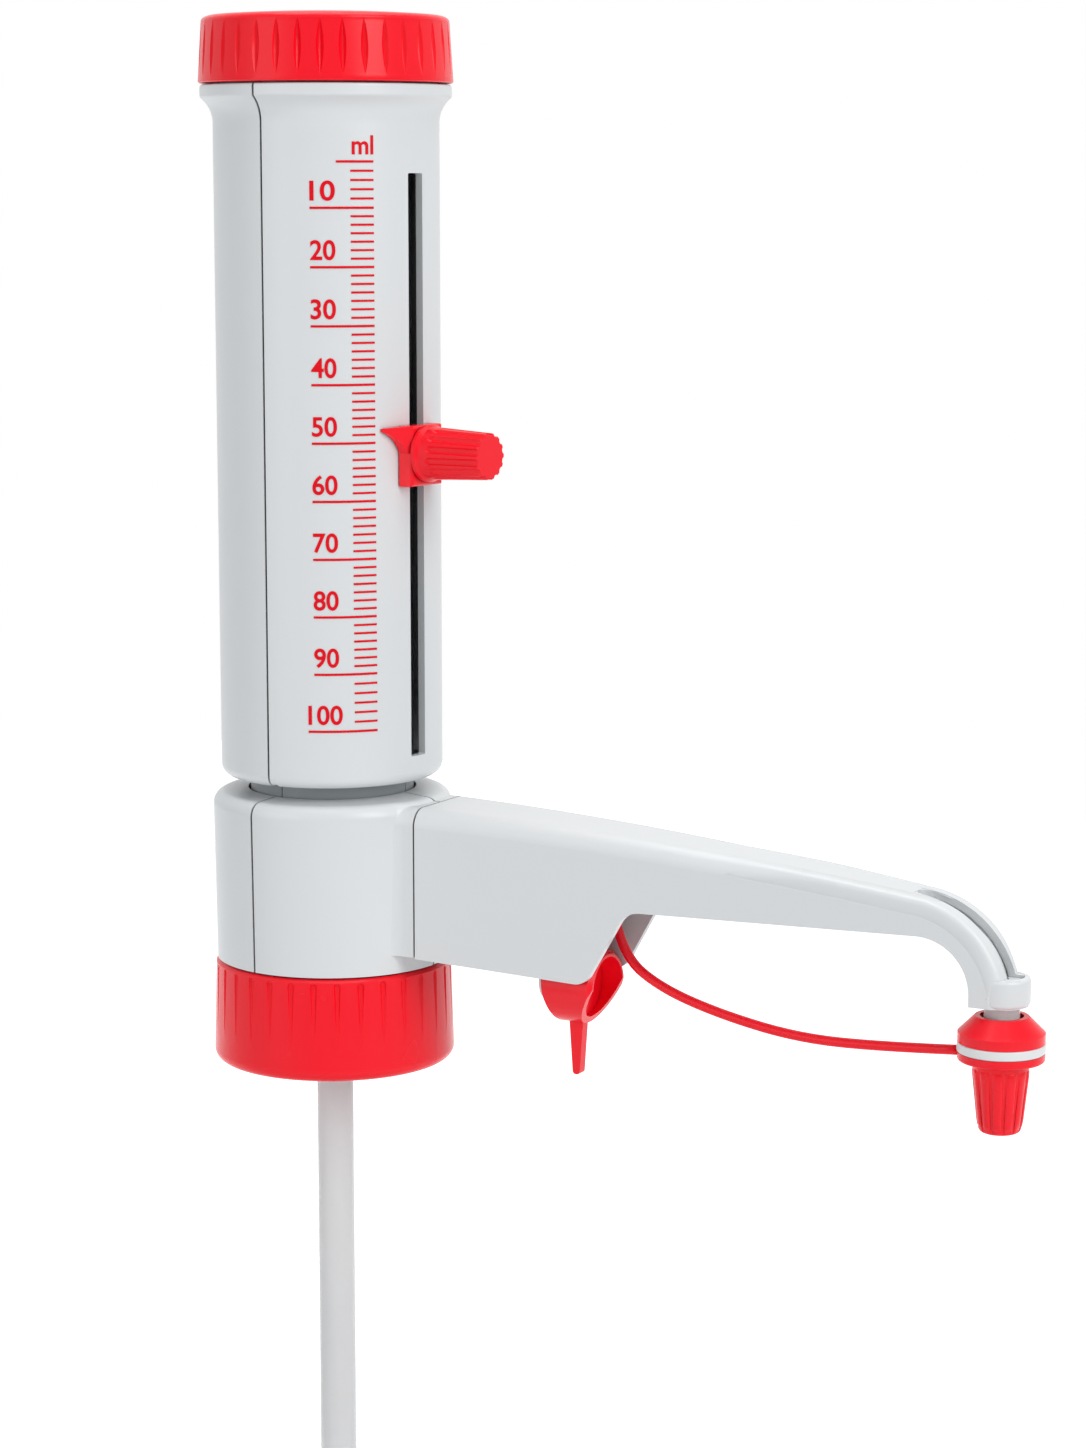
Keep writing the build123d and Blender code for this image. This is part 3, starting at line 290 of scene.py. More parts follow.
def add_group(name, inputs, outputs):
    """A new shader group with its named sockets, and the sockets of its two ends."""
    group = bpy.data.node_groups.new(name, "ShaderNodeTree")
    for label, kind, value in inputs:
        socket = group.interface.new_socket(label, in_out="INPUT", socket_type=kind)
        if value is not None:
            socket.default_value = value
    for label, kind in outputs:
        group.interface.new_socket(label, in_out="OUTPUT", socket_type=kind)
    given = add_node(group, "NodeGroupInput").outputs
    return group, given, add_node(group, "NodeGroupOutput").inputs


def moulded_skin(name):
    """A faint orange peel, slow mottling of the colour and light handling marks."""
    inputs = (
        ("Colour", COLOUR, None),
        ("Roughness", NUMBER, 0.3),
        ("Mottle", NUMBER, 0.02),
        ("Grain size", NUMBER, GRAIN_SCALE),
        ("Relief", NUMBER, 0.05),
    )
    outputs = (("Colour", COLOUR), ("Roughness", NUMBER), ("Normal", DIRECTION))
    group, given, out = add_group(name, inputs, outputs)
    link = group.links.new
    place = add_node(group, "ShaderNodeTexCoord").outputs["Object"]
    slow = add_node(group, "ShaderNodeTexNoise", {"Scale": MOTTLE_SCALE, "Detail": MOTTLE_DETAIL})
    link(place, slow.inputs["Vector"])
    fine = add_node(group, "ShaderNodeTexNoise", {"Detail": GRAIN_DETAIL})
    link(place, fine.inputs["Vector"])
    link(given["Grain size"], fine.inputs["Scale"])
    centred = add_node(group, "ShaderNodeMath", {1: 0.5}, operation="SUBTRACT")
    link(slow.outputs["Fac"], centred.inputs[0])
    amount = add_node(group, "ShaderNodeMath", {2: 1.0}, operation="MULTIPLY_ADD")
    link(centred.outputs[0], amount.inputs[0])
    link(given["Mottle"], amount.inputs[1])
    tinted = add_node(group, "ShaderNodeVectorMath", operation="SCALE")
    link(given["Colour"], tinted.inputs[0])
    link(amount.outputs[0], tinted.inputs["Scale"])
    link(tinted.outputs[0], out["Colour"])
    rough = add_node(group, "ShaderNodeMath", {1: ROUGHNESS_SPREAD}, operation="MULTIPLY_ADD")
    link(centred.outputs[0], rough.inputs[0])
    link(given["Roughness"], rough.inputs[2])
    link(rough.outputs[0], out["Roughness"])
    bump = add_node(group, "ShaderNodeBump", {"Distance": GRAIN_DEPTH})
    link(given["Relief"], bump.inputs["Strength"])
    link(fine.outputs["Fac"], bump.inputs["Height"])
    link(bump.outputs[0], out["Normal"])


def rubbed_edges(name):
    """Corners of a moulding that are rubbed a little lighter."""
    inputs = (("Colour", COLOUR, None), ("Amount", NUMBER, 0.1))
    group, given, out = add_group(name, inputs, (("Colour", COLOUR),))
    link = group.links.new
    geometry = add_node(group, "ShaderNodeNewGeometry")
    low, high = RUBBED_CORNERS
    sharp = add_node(group, "ShaderNodeMapRange", {"From Min": low, "From Max": high})
    link(geometry.outputs["Pointiness"], sharp.inputs["Value"])
    scaled = add_node(group, "ShaderNodeMath", operation="MULTIPLY")
    link(sharp.outputs[0], scaled.inputs[0])
    link(given["Amount"], scaled.inputs[1])
    mix = add_node(group, "ShaderNodeMix", {"B": WHITE}, data_type="RGBA")
    link(scaled.outputs[0], mix.inputs["Factor"])
    link(given["Colour"], mix.inputs["A"])
    link(mix.outputs["Result"], out["Colour"])


def shaded_seams(name):
    """Painted shade: the colour is darkened in narrow gaps between mouldings and in concave
    corners, as far as ambient occlusion finds nearby surfaces.
    """
    inputs = (("Colour", COLOUR, None), ("Depth", NUMBER, 0.001), ("Darkest", NUMBER, 0.2))
    group, given, out = add_group(name, inputs, (("Colour", COLOUR),))
    link = group.links.new
    hollow = add_node(group, "ShaderNodeAmbientOcclusion", samples=SEAM_SHADE_SAMPLES)
    link(given["Depth"], hollow.inputs["Distance"])
    low, high = SEAM_SHADE_OPENNESS
    shares = {"From Min": low, "From Max": high, "To Max": 1.0}
    level = add_node(group, "ShaderNodeMapRange", shares)
    link(hollow.outputs["AO"], level.inputs["Value"])
    link(given["Darkest"], level.inputs["To Min"])
    shade = add_node(group, "ShaderNodeVectorMath", operation="SCALE")
    link(given["Colour"], shade.inputs[0])
    link(level.outputs[0], shade.inputs["Scale"])
    link(shade.outputs[0], out["Colour"])


GROUPS = {
    "Moulded skin": moulded_skin,
    "Rubbed edges": rubbed_edges,
    "Painted seam shade": shaded_seams,
}


def place_group(tree, name, values):
    """Puts the one group of this name, which every material shares, into a material."""
    if name not in bpy.data.node_groups:
        GROUPS[name](name)
    node = tree.nodes.new("ShaderNodeGroup")
    node.node_tree = bpy.data.node_groups[name]
    for socket, value in values.items():
        node.inputs[socket].default_value = value
    return node


# ------------------------------------------------------------------ materials
def shaded(name, values):
    """A material with its main shader, whose sockets are set to the values."""
    material = bpy.data.materials.new(name)
    material.use_nodes = True
    shader = material.node_tree.nodes["Principled BSDF"]
    for socket, value in values.items():
        shader.inputs[socket].default_value = value
    return material, material.node_tree, shader


def plastic(
    name,
    colour,
    roughness,
    mottle=0.02,
    relief=0.05,
    coat=0.0,
    edges=0.0,
    seam_shade=0.0,
    darkest=0.2,
    gloss=0.5,
    **more,
):
    """A moulded surface; more holds the values of further sockets, with _ for a space."""
    values = {
        "Specular IOR Level": gloss,
        "Coat Weight": coat,
        "Coat Roughness": COAT_ROUGHNESS,
    }
    values.update({label.replace("_", " "): value for label, value in more.items()})
    material, tree, shader = shaded(name, values)
    link = tree.links.new
    look = {"Colour": (*colour, 1.0), "Roughness": roughness, "Mottle": mottle, "Relief": relief}
    skin = place_group(tree, "Moulded skin", look)
    colours = place_group(tree, "Rubbed edges", {"Amount": edges})
    link(skin.outputs["Colour"], colours.inputs["Colour"])
    # Painted shade: the colour is darkened in narrow gaps between mouldings and in concave
    # corners.
    if seam_shade:
        rubbed = colours
        colours = place_group(tree, "Painted seam shade", {"Depth": seam_shade, "Darkest": darkest})
        link(rubbed.outputs["Colour"], colours.inputs["Colour"])
    link(colours.outputs["Colour"], shader.inputs["Base Color"])
    link(skin.outputs["Roughness"], shader.inputs["Roughness"])
    link(skin.outputs["Normal"], shader.inputs["Normal"])
    return material


def red_plastic():
    return plastic(
        "Glossy red moulding",
        settings().red,
        0.26,
        mottle=0.03,
        relief=0.04,
        edges=0.008,
        # Painted shade in seams and concave corners of the red mouldings.
        seam_shade=0.0016,
        darkest=0.4,
        gloss=0.25,
    )


def grey_plastic():
    return plastic(
        "Pale satin moulding",
        settings().grey,
        0.36,
        mottle=0.015,
        relief=0.03,
        coat=0.1,
        # Painted shade in seams and concave corners of the grey mouldings.
        seam_shade=0.0012,
    )


def sleeve_plastic():
    return plastic("Blue-grey sleeve", settings().sleeve, 0.4, relief=0.03)


def block_plastic():
    return plastic("Dark filled resin", settings().block, 0.5, mottle=0.1, relief=0.15)


def white_plastic():
    return plastic("White fluoropolymer", settings().white, 0.35, relief=0.04)


def ceramic():
    return plastic("Polished ceramic", (0.80, 0.78, 0.70), 0.12, relief=0.0, coat=0.5)


def steel():
    grey = (0.55, 0.55, 0.56)
    return plastic("Turned stainless steel", grey, 0.25, mottle=0.08, relief=0.1, Metallic=1.0)


def tube_plastic():
    clear = (0.90, 0.90, 0.90)
    return plastic("Translucent tubing", clear, 0.25, Transmission_Weight=0.3, IOR=1.35)


def cylinder_glass():
    clear = {"Transmission Weight": 1.0, "IOR": 1.47}
    material, tree, shader = shaded("Borosilicate glass", clear)
    look = {"Colour": (0.93, 0.97, 0.97, 1.0), "Roughness": 0.02, "Relief": 0.01}
    skin = place_group(tree, "Moulded skin", look)
    tree.links.new(skin.outputs["Colour"], shader.inputs["Base Color"])
    tree.links.new(skin.outputs["Roughness"], shader.inputs["Roughness"])
    return material


def scale_ink():
    return plastic("Pad-printed ink", settings().ink, 0.5, mottle=0.06, relief=0.1, gloss=0.15)


FINISHES = {
    "red_plastic": red_plastic,
    "grey_plastic": grey_plastic,
    "sleeve_plastic": sleeve_plastic,
    "block_plastic": block_plastic,
    "white_plastic": white_plastic,
    "ball_ceramic": ceramic,
    "steel": steel,
    "clear_plastic": tube_plastic,
    "cylinder_glass": cylinder_glass,
}
made = {}


def finish_for(slot):
    """The one material that every piece with this finish shares."""
    if slot not in made:
        made[slot] = FINISHES[slot]()
    return made[slot]


# ------------------------------------------------------------------ mesh helpers
def piece(name, mesh_data, body, slot, material=None):
    obj = bpy.data.objects.new(name, mesh_data)
    bpy.context.scene.collection.objects.link(obj)
    mesh_data.materials.clear()
    mesh_data.materials.append(material or finish_for(slot))
    if body:
        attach(obj, body)
    return obj


def to_mesh(name, bm, smooth=True, crease=None):
    """Turns a bmesh into a mesh; edges sharper than the crease stay hard."""
    mesh = bpy.data.meshes.new(name)
    bmesh.ops.recalc_face_normals(bm, faces=bm.faces)
    bm.to_mesh(mesh)
    bm.free()
    for polygon in mesh.polygons:
        polygon.use_smooth = smooth
    if crease:
        mesh.set_sharp_from_angle(angle=radians(crease))
    return mesh


def gather(parts):
    """One bmesh out of several."""
    whole = bmesh.new()
    for bm in parts:
        scrap = bpy.data.meshes.new("scrap")
        bm.to_mesh(scrap)
        bm.free()
        whole.from_mesh(scrap)
        bpy.data.meshes.remove(scrap)
    return whole


def on_circle(radius, turn, height, centre_x=0.0):
    """A point round an upright axis that meets the x axis at centre_x."""
    return centre_x + radius * cos(turn), radius * sin(turn), height


def joined_rings(bm, rings):
    """Quads between neighbouring closed rings of vertices."""
    for one, two in zip(rings, rings[1:]):
        for k in range(len(one)):
            m = (k + 1) % len(one)
            bm.faces.new((one[k], one[m], two[m], two[k]))


def solid_from_rings(bm, rings):
    """A closed solid that runs through the rings, with a flat face at either end."""
    joined_rings(bm, rings)
    bm.faces.new(rings[0])
    bm.faces.new(rings[-1])


def capped(bm, ring, height):
    """Closes a ring round the upright axis with a fan."""
    middle = bm.verts.new((0, 0, height))
    for k in range(len(ring)):
        bm.faces.new((ring[k], ring[(k + 1) % len(ring)], middle))


def eased(value, start, end, low, high):
    """A smooth change from one value to another between two places."""
    t = min(max((value - start) / (end - start), 0.0), 1.0)
    return low + (high - low) * t * t * (3 - 2 * t)


def circle_through(a, b, c):
    """Centre of the circle through three points."""
    a, b, c = Vector(a), Vector(b), Vector(c)
    u, v = b - a, c - a
    cross = 2 * (u.x * v.y - u.y * v.x)
    across = v.y * u.dot(u) - u.y * v.dot(v)
    along = u.x * v.dot(v) - v.x * u.dot(u)
    return a + Vector((across, along)) / cross


# ------------------------------------------------------------------ mouldings
class DISPENSER_OT_mouldings(bpy.types.Operator):
    """Give every moulded, glass, ceramic and steel piece its finish."""

    bl_idname = "dispenser.mouldings"
    bl_label = "Moulded pieces"

    def execute(self, context):
        subparts = frame["record"]["subparts"]
        slots = {entry["node"]: entry["material_slot"] for entry in subparts}
        for name, obj in nodes.items():
            material = finish_for(slots[name])
            if not obj.material_slots:
                obj.data.materials.append(material)
            for place in obj.material_slots:
                place.material = material
        return {"FINISHED"}


# ------------------------------------------------------------------ printed scale
def height_of(ml):
    """The first ten millilitres are printed closer together than the rest."""
    if ml < DECADE:
        return SCALE_ZERO + (SCALE_FIRST - SCALE_ZERO) * ml / DECADE
    return SCALE_FIRST + (SCALE_FULL - SCALE_FIRST) * (ml - DECADE) / (SCALE_ML - DECADE)


def wrapped(bm, left_angle, foot):
    """Bends a flat drawing, with its lower left corner at the origin, round the barrel."""
    reach = max(v.co.x for v in bm.verts)
    cuts = int(reach / WRAP_STEP)
    for cut in range(1, cuts + 1):
        around = bm.verts[:] + bm.edges[:] + bm.faces[:]
        at = (cut * reach / (cuts + 1), 0, 0)
        bmesh.ops.bisect_plane(bm, geom=around, dist=TOUCH, plane_co=at, plane_no=(1, 0, 0))
    for v in bm.verts:
        radius = BARREL_R + PRINT_LIFT + v.co.z
        angle = radians(left_angle) + v.co.x / BARREL_R
        v.co = Vector(on_circle(radius, angle, foot + v.co.y))
    return bm


def printed_bar(left, right, height, thickness):
    """A printed line between two angles, as a thin closed slab."""
    width = radians(right - left) * BARREL_R
    bm = bmesh.new()
    bmesh.ops.create_cube(bm, size=1.0)
    bmesh.ops.scale(bm, verts=bm.verts, vec=(width, thickness, PRINT_DEPTH))
    bmesh.ops.translate(bm, verts=bm.verts, vec=(width / 2, 0, PRINT_DEPTH / 2))
    return wrapped(bm, left, height)


def lettering(words, width, height):
    """Flat lettering as a thin slab with its lower left corner at the origin."""
    curve = bpy.data.curves.new(words, "FONT")
    curve.body = words
    curve.extrude = PRINT_DEPTH / 2
    curve.offset = FIGURE_WEIGHT
    curve.resolution_u = FIGURE_CURVE_STEPS
    flat = bpy.data.objects.new(words, curve)
    mesh = bpy.data.meshes.new_from_object(flat)
    bm = bmesh.new()
    bm.from_mesh(mesh)
    bpy.data.objects.remove(flat)
    bpy.data.curves.remove(curve)
    bpy.data.meshes.remove(mesh)
    bmesh.ops.remove_doubles(bm, verts=bm.verts, dist=WELD)
    xs = [v.co.x for v in bm.verts]
    ys = [v.co.y for v in bm.verts]
    bmesh.ops.translate(bm, verts=bm.verts, vec=(-min(xs), -min(ys), PRINT_DEPTH / 2))
    across = width / (max(xs) - min(xs))
    up = height / (max(ys) - min(ys))
    bmesh.ops.scale(bm, verts=bm.verts, vec=(across, up, 1))
    return bm


class DISPENSER_OT_scale(bpy.types.Operator):
    """Print the millilitre scale on the barrel beside its slot."""

    bl_idname = "dispenser.scale"
    bl_label = "Printed scale"

    def execute(self, context):
        ink = scale_ink()
        for name, drawn in (("scale_lines", self.lines()), ("scale_figures", self.figures())):
            mesh = to_mesh(name, gather(drawn), False)
            piece(name, mesh, "barrel", "red_plastic", ink)
        return {"FINISHED"}

    def lines(self):
        """A long line at each decade, and short ticks between them."""
        line = settings().line_width
        right = SLOT_ANGLE + LINE_RIGHT
        drawn = []
        for ml in range(0, SCALE_ML + 1, DECADE):
            left = {0: ZERO_LEFT, SCALE_ML: FULL_LEFT}.get(ml, DECADE_LEFT)
            drawn.append(printed_bar(SLOT_ANGLE + left, right, height_of(ml), line))
            if ml == SCALE_ML:
                break
            count = {0: FIRST_TICKS, SCALE_ML - DECADE: LAST_TICKS}.get(ml, DECADE_TICKS)
            for tick in range(1, count + 1):
                at = height_of(ml + DECADE * tick / (count + 1))
                drawn.append(printed_bar(SLOT_ANGLE + TICK_LEFT, right, at, TICK_T))
        return drawn

    def figures(self):
        """The figure of each decade over its line, and the unit at the head of the scale."""
        tall = settings().figure_height
        drawn = []
        for ml in range(DECADE, SCALE_ML + 1, DECADE):
            full = ml == SCALE_ML
            left = SLOT_ANGLE + (FULL_LEFT if full else DECADE_LEFT)
            flat = lettering(str(ml), FULL_FIGURE_W if full else FIGURE_W, tall)
            drawn.append(wrapped(flat, left, height_of(ml) + FIGURE_RISE))
        unit_left = SLOT_ANGLE + LINE_RIGHT - UNIT_W / BARREL_R / radians(1)
        unit = lettering("ml", UNIT_W, UNIT_H)
        drawn.append(wrapped(unit, unit_left, height_of(0) + FIGURE_RISE))
        return drawn


# ------------------------------------------------------------------ bend of the arm
def arm_half(x):
    """Half the arm's width at this distance from the barrel's axis."""
    return ARM_HALF - ARM_TAPER * (x - ARM_ROOT)


def arm_stations():
    """Points on the arm's top line with the way out from it and the radius of its edge."""
    centre = circle_through(*ARM_TOP_LINE)
    radius = (Vector(ARM_TOP_LINE[0]) - centre).length
    stations = []
    for step in range(BEND_STEPS):
        x = LIP_START + (ARM_TOP_LINE[2][0] - LIP_START) * step / BEND_STEPS
        way = Vector((x - centre.x, (radius**2 - (x - centre.x) ** 2) ** 0.5)) / radius
        edge = eased(x, LIP_START, LIP_FULL, BURIED_EDGE, CRISP_EDGE)
        stations.append((centre + way * radius, way, edge))
    for step in range(BEND_STEPS + 1):
        turn = BEND_ANGLES[0] + (BEND_ANGLES[1] - BEND_ANGLES[0]) * step / BEND_STEPS
        way = Vector((cos(radians(turn)), sin(radians(turn))))
        edge = eased(turn, *NECK_ANGLES, CRISP_EDGE, COLLAR_EDGE)
        if turn < NECK_ANGLES[1]:
            edge = eased(turn, NECK_ANGLES[1], BEND_ANGLES[1], COLLAR_EDGE, BURIED_EDGE)
        stations.append((Vector(BEND_AT) + way * BEND_R, way, edge))
    return stations


def lip_section(edge, inner):
    """A lip's section as (in from the side, down from the top): out over the edge, then back."""
    leave = max(ARM_EDGE - LIP_MARGIN, edge)
    section = [(LIP_MARGIN, ARM_EDGE + LIP_COVER), (0.0, leave)]
    section += [(edge - edge * cos(turn), edge - edge * sin(turn)) for turn in QUARTER]
    if inner == ARM_EDGE:
        section += [(leave, 0.0), (ARM_EDGE + LIP_COVER, LIP_MARGIN)]
    else:
        section += [(inner, 0.0), (inner, LIP_MARGIN)]
    buried = ARM_EDGE - LIP_COVER
    for turn in reversed(QUARTER):
        across = min(inner, ARM_EDGE - buried * cos(turn))
        section.append((across, ARM_EDGE - buried * sin(turn)))
    return section


def lip(bm, side):
    """The lip on one side of the slot, from the arm's back down to the nozzle."""
    rings = []
    for top, way, edge in arm_stations():
        ring = []
        for across, down in lip_section(edge, min(ARM_EDGE, arm_half(top.x) - SLOT_HALF)):
            at = top - way * down
            ring.append(bm.verts.new((at.x, side * (arm_half(at.x) - across), at.y)))
        rings.append(ring)
    solid_from_rings(bm, rings)


def slot_corner(bm, side):
    """The filling that rounds one corner of the slot's head."""
    corner = [(SLOT_HEAD, side * SLOT_HALF)]
    for step in range(SLOT_CORNER_STEPS + 1):
        turn = radians(180 - SLOT_CORNER_TURN * step / SLOT_CORNER_STEPS)
        corner.append((SLOT_HEAD + SLOT_HALF * (1 + cos(turn)), side * SLOT_HALF * sin(turn)))
    heads, feet = [], []
    for x, y in corner:
        height = BEND_AT[1] + (BEND_R**2 - (x - BEND_AT[0]) ** 2) ** 0.5
        heads.append(bm.verts.new((x, y, height)))
        feet.append(bm.verts.new((x, y, SLOT_FLOOR)))
    for ring in (heads, feet):
        for k in range(1, len(corner) - 1):
            bm.faces.new((ring[0], ring[k], ring[k + 1]))
    joined_rings(bm, [heads, feet])


def nozzle_collar(bm):
    """The collar with rounded edges that the nozzle comes out of."""
    section = [(NECK_IN, NECK_TOP)]
    for turn in QUARTER:
        inset, drop = NECK_EDGE * (1 - sin(turn)), NECK_EDGE * (1 - cos(turn))
        section.append((NECK_R - inset, NECK_TOP - drop))
    for turn in QUARTER:
        inset, rise = NECK_EDGE * (1 - cos(turn)), NECK_EDGE * (1 - sin(turn))
        section.append((NECK_R - inset, NECK_FOOT + rise))
    section.append((NECK_IN, NECK_FOOT))
    rings = []
    for step in range(NECK_STEPS):
        turn = 2 * pi * step / NECK_STEPS
        rings.append([bm.verts.new(on_circle(r, turn, z, NOZZLE_X)) for r, z in section])
    joined_rings(bm, rings + rings[:1])


class DISPENSER_OT_bend_lips(bpy.types.Operator):
    """Draw up the two lips beside the slot of the arm's bend, and round the slot's head."""

    bl_idname = "dispenser.bend_lips"
    bl_label = "Lips of the bend"

    def execute(self, context):
        bm = bmesh.new()
        for side in (1, -1):
            lip(bm, side)
            slot_corner(bm, side)
        nozzle_collar(bm)
        bmesh.ops.remove_doubles(bm, verts=bm.verts, dist=TOUCH)
        bmesh.ops.dissolve_degenerate(bm, edges=bm.edges, dist=TOUCH)
        piece("bend_lips", to_mesh("bend_lips", bm, crease=LIP_CREASE), "base", "grey_plastic")
        return {"FINISHED"}


# ------------------------------------------------------------------ top cap
def cap_ring(bm, radius, height, swell):
    """One ring of the cap, hollowed at each flute by as much as it has opened out there."""
    half = max(FLUTE_HALF * swell, FLUTE_LEAST_HALF) / radius
    ring = []
    for flute in range(CAP_FLUTES):
        middle = 2 * pi * flute / CAP_FLUTES
        points = []
        for column in FLUTE_COLUMNS:
            depth = FLUTE_DEPTH * swell * (1 - column * column)
            points.append((radius - depth, middle + column * half))
        points.append((radius, middle + pi / CAP_FLUTES))
        ring += [bm.verts.new(on_circle(r, turn, cap_low[2] + height)) for r, turn in points]
    return ring


def cap_rows():
    """The cap's outline from its bore to its dome, as (radius, height, swell of the flutes)."""
    foot_r = cap_high[0]
    crown = cap_high[2] - cap_low[2] - CAP_DOME
    rows = [(CAP_BORE_R, CAP_ROOF, 0), (CAP_BORE_R, 0, 0)]
    for step in range(CAP_FOOT_STEPS + 1):
        turn = radians(90 * step / CAP_FOOT_STEPS)
        inset, rise = CAP_FOOT_EDGE * (1 - sin(turn)), CAP_FOOT_EDGE * (1 - cos(turn))
        rows.append((foot_r - inset, rise, 0))
    for row in range(FLUTE_ROWS + 1):
        height = FLUTE_FOOT + (FLUTE_HEAD - FLUTE_FOOT) * row / FLUTE_ROWS
        swell = sin(pi * row / FLUTE_ROWS) ** FLUTE_POINT
        rows.append((foot_r - CAP_DRAFT * height, height, swell))
    shoulder = foot_r - CAP_DRAFT * crown
    start = FLUTE_HEAD + CAP_CROWN_GAP
    for turn in QUARTER:
        radius = shoulder - CAP_CROWN_EDGE * (1 - cos(turn)) + CAP_CROWN_STEP * cos(turn)
        rows.append((radius, start + (crown - start) * sin(turn), 0))
    edge_r = shoulder - CAP_CROWN_EDGE
    for step in range(1, CAP_DOME_RINGS):
        radius = edge_r * (1 - step / CAP_DOME_RINGS)
        rows.append((radius, crown + CAP_DOME * (1 - (radius / edge_r) ** 2), 0))
    return rows


class DISPENSER_OT_cap_skin(bpy.types.Operator):
    """Draw the cap with its long pointed flutes, its rounded crown and its low dome."""

    bl_idname = "dispenser.cap_skin"
    bl_label = "Fluted cap"

    def execute(self, context):
        bm = bmesh.new()
        rings = [cap_ring(bm, *row) for row in cap_rows()]
        joined_rings(bm, rings)
        capped(bm, rings[0], cap_low[2] + CAP_ROOF)
        capped(bm, rings[-1], cap_high[2])
        mesh = to_mesh("cap_skin", bm, crease=CAP_CREASE)
        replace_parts(piece("cap_skin", mesh, "barrel", "red_plastic"), "top_cap")
        return {"FINISHED"}


# ------------------------------------------------------------------ ribs of the closure's grip
def rib_rings(bm, middle):
    """The rings of one rib, which rises from the grip at its foot and sinks back at its head."""
    slope = (GRIP_TOP[0] - GRIP_TIP[0]) / (GRIP_TOP[1] - GRIP_TIP[1])
    rings = []
    for row in range(RIB_ROWS + 1):
        share = row / RIB_ROWS
        height = RIB_FOOT + (RIB_HEAD - RIB_FOOT) * share
        base = GRIP_TIP[0] + slope * (height - GRIP_TIP[1])
        rise = min(1.0, sin(pi * share) * RIB_RISE)
        ring = []
        for across, out in RIB_SECTION:
            turn = middle + radians(RIB_HALF) * across
            radius = base + (out * rise if out > 0 else out) - (1 - rise) * RIB_SINK
            ring.append(bm.verts.new(on_circle(radius, turn, height, NOZZLE_X)))
        rings.append(ring)
    return rings


class DISPENSER_OT_grip_ribs(bpy.types.Operator):
    """Raise the ribs of the nozzle closure's grip."""

    bl_idname = "dispenser.grip_ribs"
    bl_label = "Ribs of the grip"

    def execute(self, context):
        bm = bmesh.new()
        for rib in range(GRIP_RIBS):
            solid_from_rings(bm, rib_rings(bm, radians(360 / GRIP_RIBS * (rib + 0.5))))
        piece("grip_ribs", to_mesh("grip_ribs", bm), "cap", "red_plastic")
        return {"FINISHED"}


# ------------------------------------------------------------------ tether
def tether_line():
    """The tether's middle line as a smooth curve."""
    route = bpy.data.curves.new("tether_line", "CURVE")
    route.dimensions = "3D"
    route.resolution_u = TETHER_STEPS
    spline = route.splines.new("NURBS")
    spline.points.add(len(TETHER_ROUTE) - 1)
    for point, at in zip(spline.points, TETHER_ROUTE):
        point.co = (*at, 1.0)
    spline.order_u = 3
    spline.use_endpoint_u = True
    return route


class DISPENSER_OT_tether(bpy.types.Operator):
    """Hang the nozzle cap's tether from its eye to its ring."""

    bl_idname = "dispenser.tether"
    bl_label = "Tether"

    def execute(self, context):
        route = tether_line()
        plain = bpy.data.objects.new("tether_line", route)
        path = [tuple(v.co) for v in bpy.data.meshes.new_from_object(plain).vertices]
        route.bevel_depth = TETHER_R
        route.bevel_resolution = TETHER_BEVEL_STEPS
        route.use_fill_caps = True
        mesh = bpy.data.meshes.new_from_object(plain)
        bpy.data.objects.remove(plain)
        bm = bmesh.new()
        bm.from_mesh(mesh)
        bmesh.ops.remove_doubles(bm, verts=bm.verts, dist=WELD)
        strap = piece("tether", to_mesh("tether", bm), None, "red_plastic")
        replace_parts(strap, "tether_strap")
        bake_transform(strap)
        return {"FINISHED"}


# ------------------------------------------------------------------ collar thread
class DISPENSER_OT_thread(bpy.types.Operator):
    """Cut the collar's coarse screw thread as a raised helix inside its bore."""

    bl_idname = "dispenser.thread"
    bl_label = "Collar thread"

    def execute(self, context):
        bm = bmesh.new()
        section = (
            (THREAD_TOP_R, -THREAD_ROOT_HALF),
            (THREAD_CREST_R, -THREAD_CREST_HALF),
            (THREAD_CREST_R, THREAD_CREST_HALF),
            (THREAD_TOP_R, THREAD_ROOT_HALF),
        )
        verts = [bm.verts.new((r, 0, THREAD_START + z)) for r, z in section]
        face = bm.faces.new(verts)
        bmesh.ops.spin(
            bm,
            geom=[face] + face.edges[:] + verts,
            cent=(0, 0, 0),
            axis=(0, 0, 1),
            dvec=(0, 0, THREAD_PITCH / THREAD_STEPS),
            angle=2 * pi * THREAD_TURNS,
            steps=int(THREAD_STEPS * THREAD_TURNS),
        )
        piece("collar_thread", to_mesh("collar_thread", bm), "collar", "red_plastic")
        return {"FINISHED"}


# ------------------------------------------------------------------ stage
def seen_ray(tree):
    """One for a ray from the lens, off a shiny surface or through a clear one, else nought."""
    path = add_node(tree, "ShaderNodeLightPath")
    found = path.outputs["Is Camera Ray"]
    for label in ("Is Glossy Ray", "Is Transmission Ray"):
        either = add_node(tree, "ShaderNodeMath", operation="MAXIMUM")
        tree.links.new(found, either.inputs[0])
        tree.links.new(path.outputs[label], either.inputs[1])
        found = either.outputs[0]
    return found


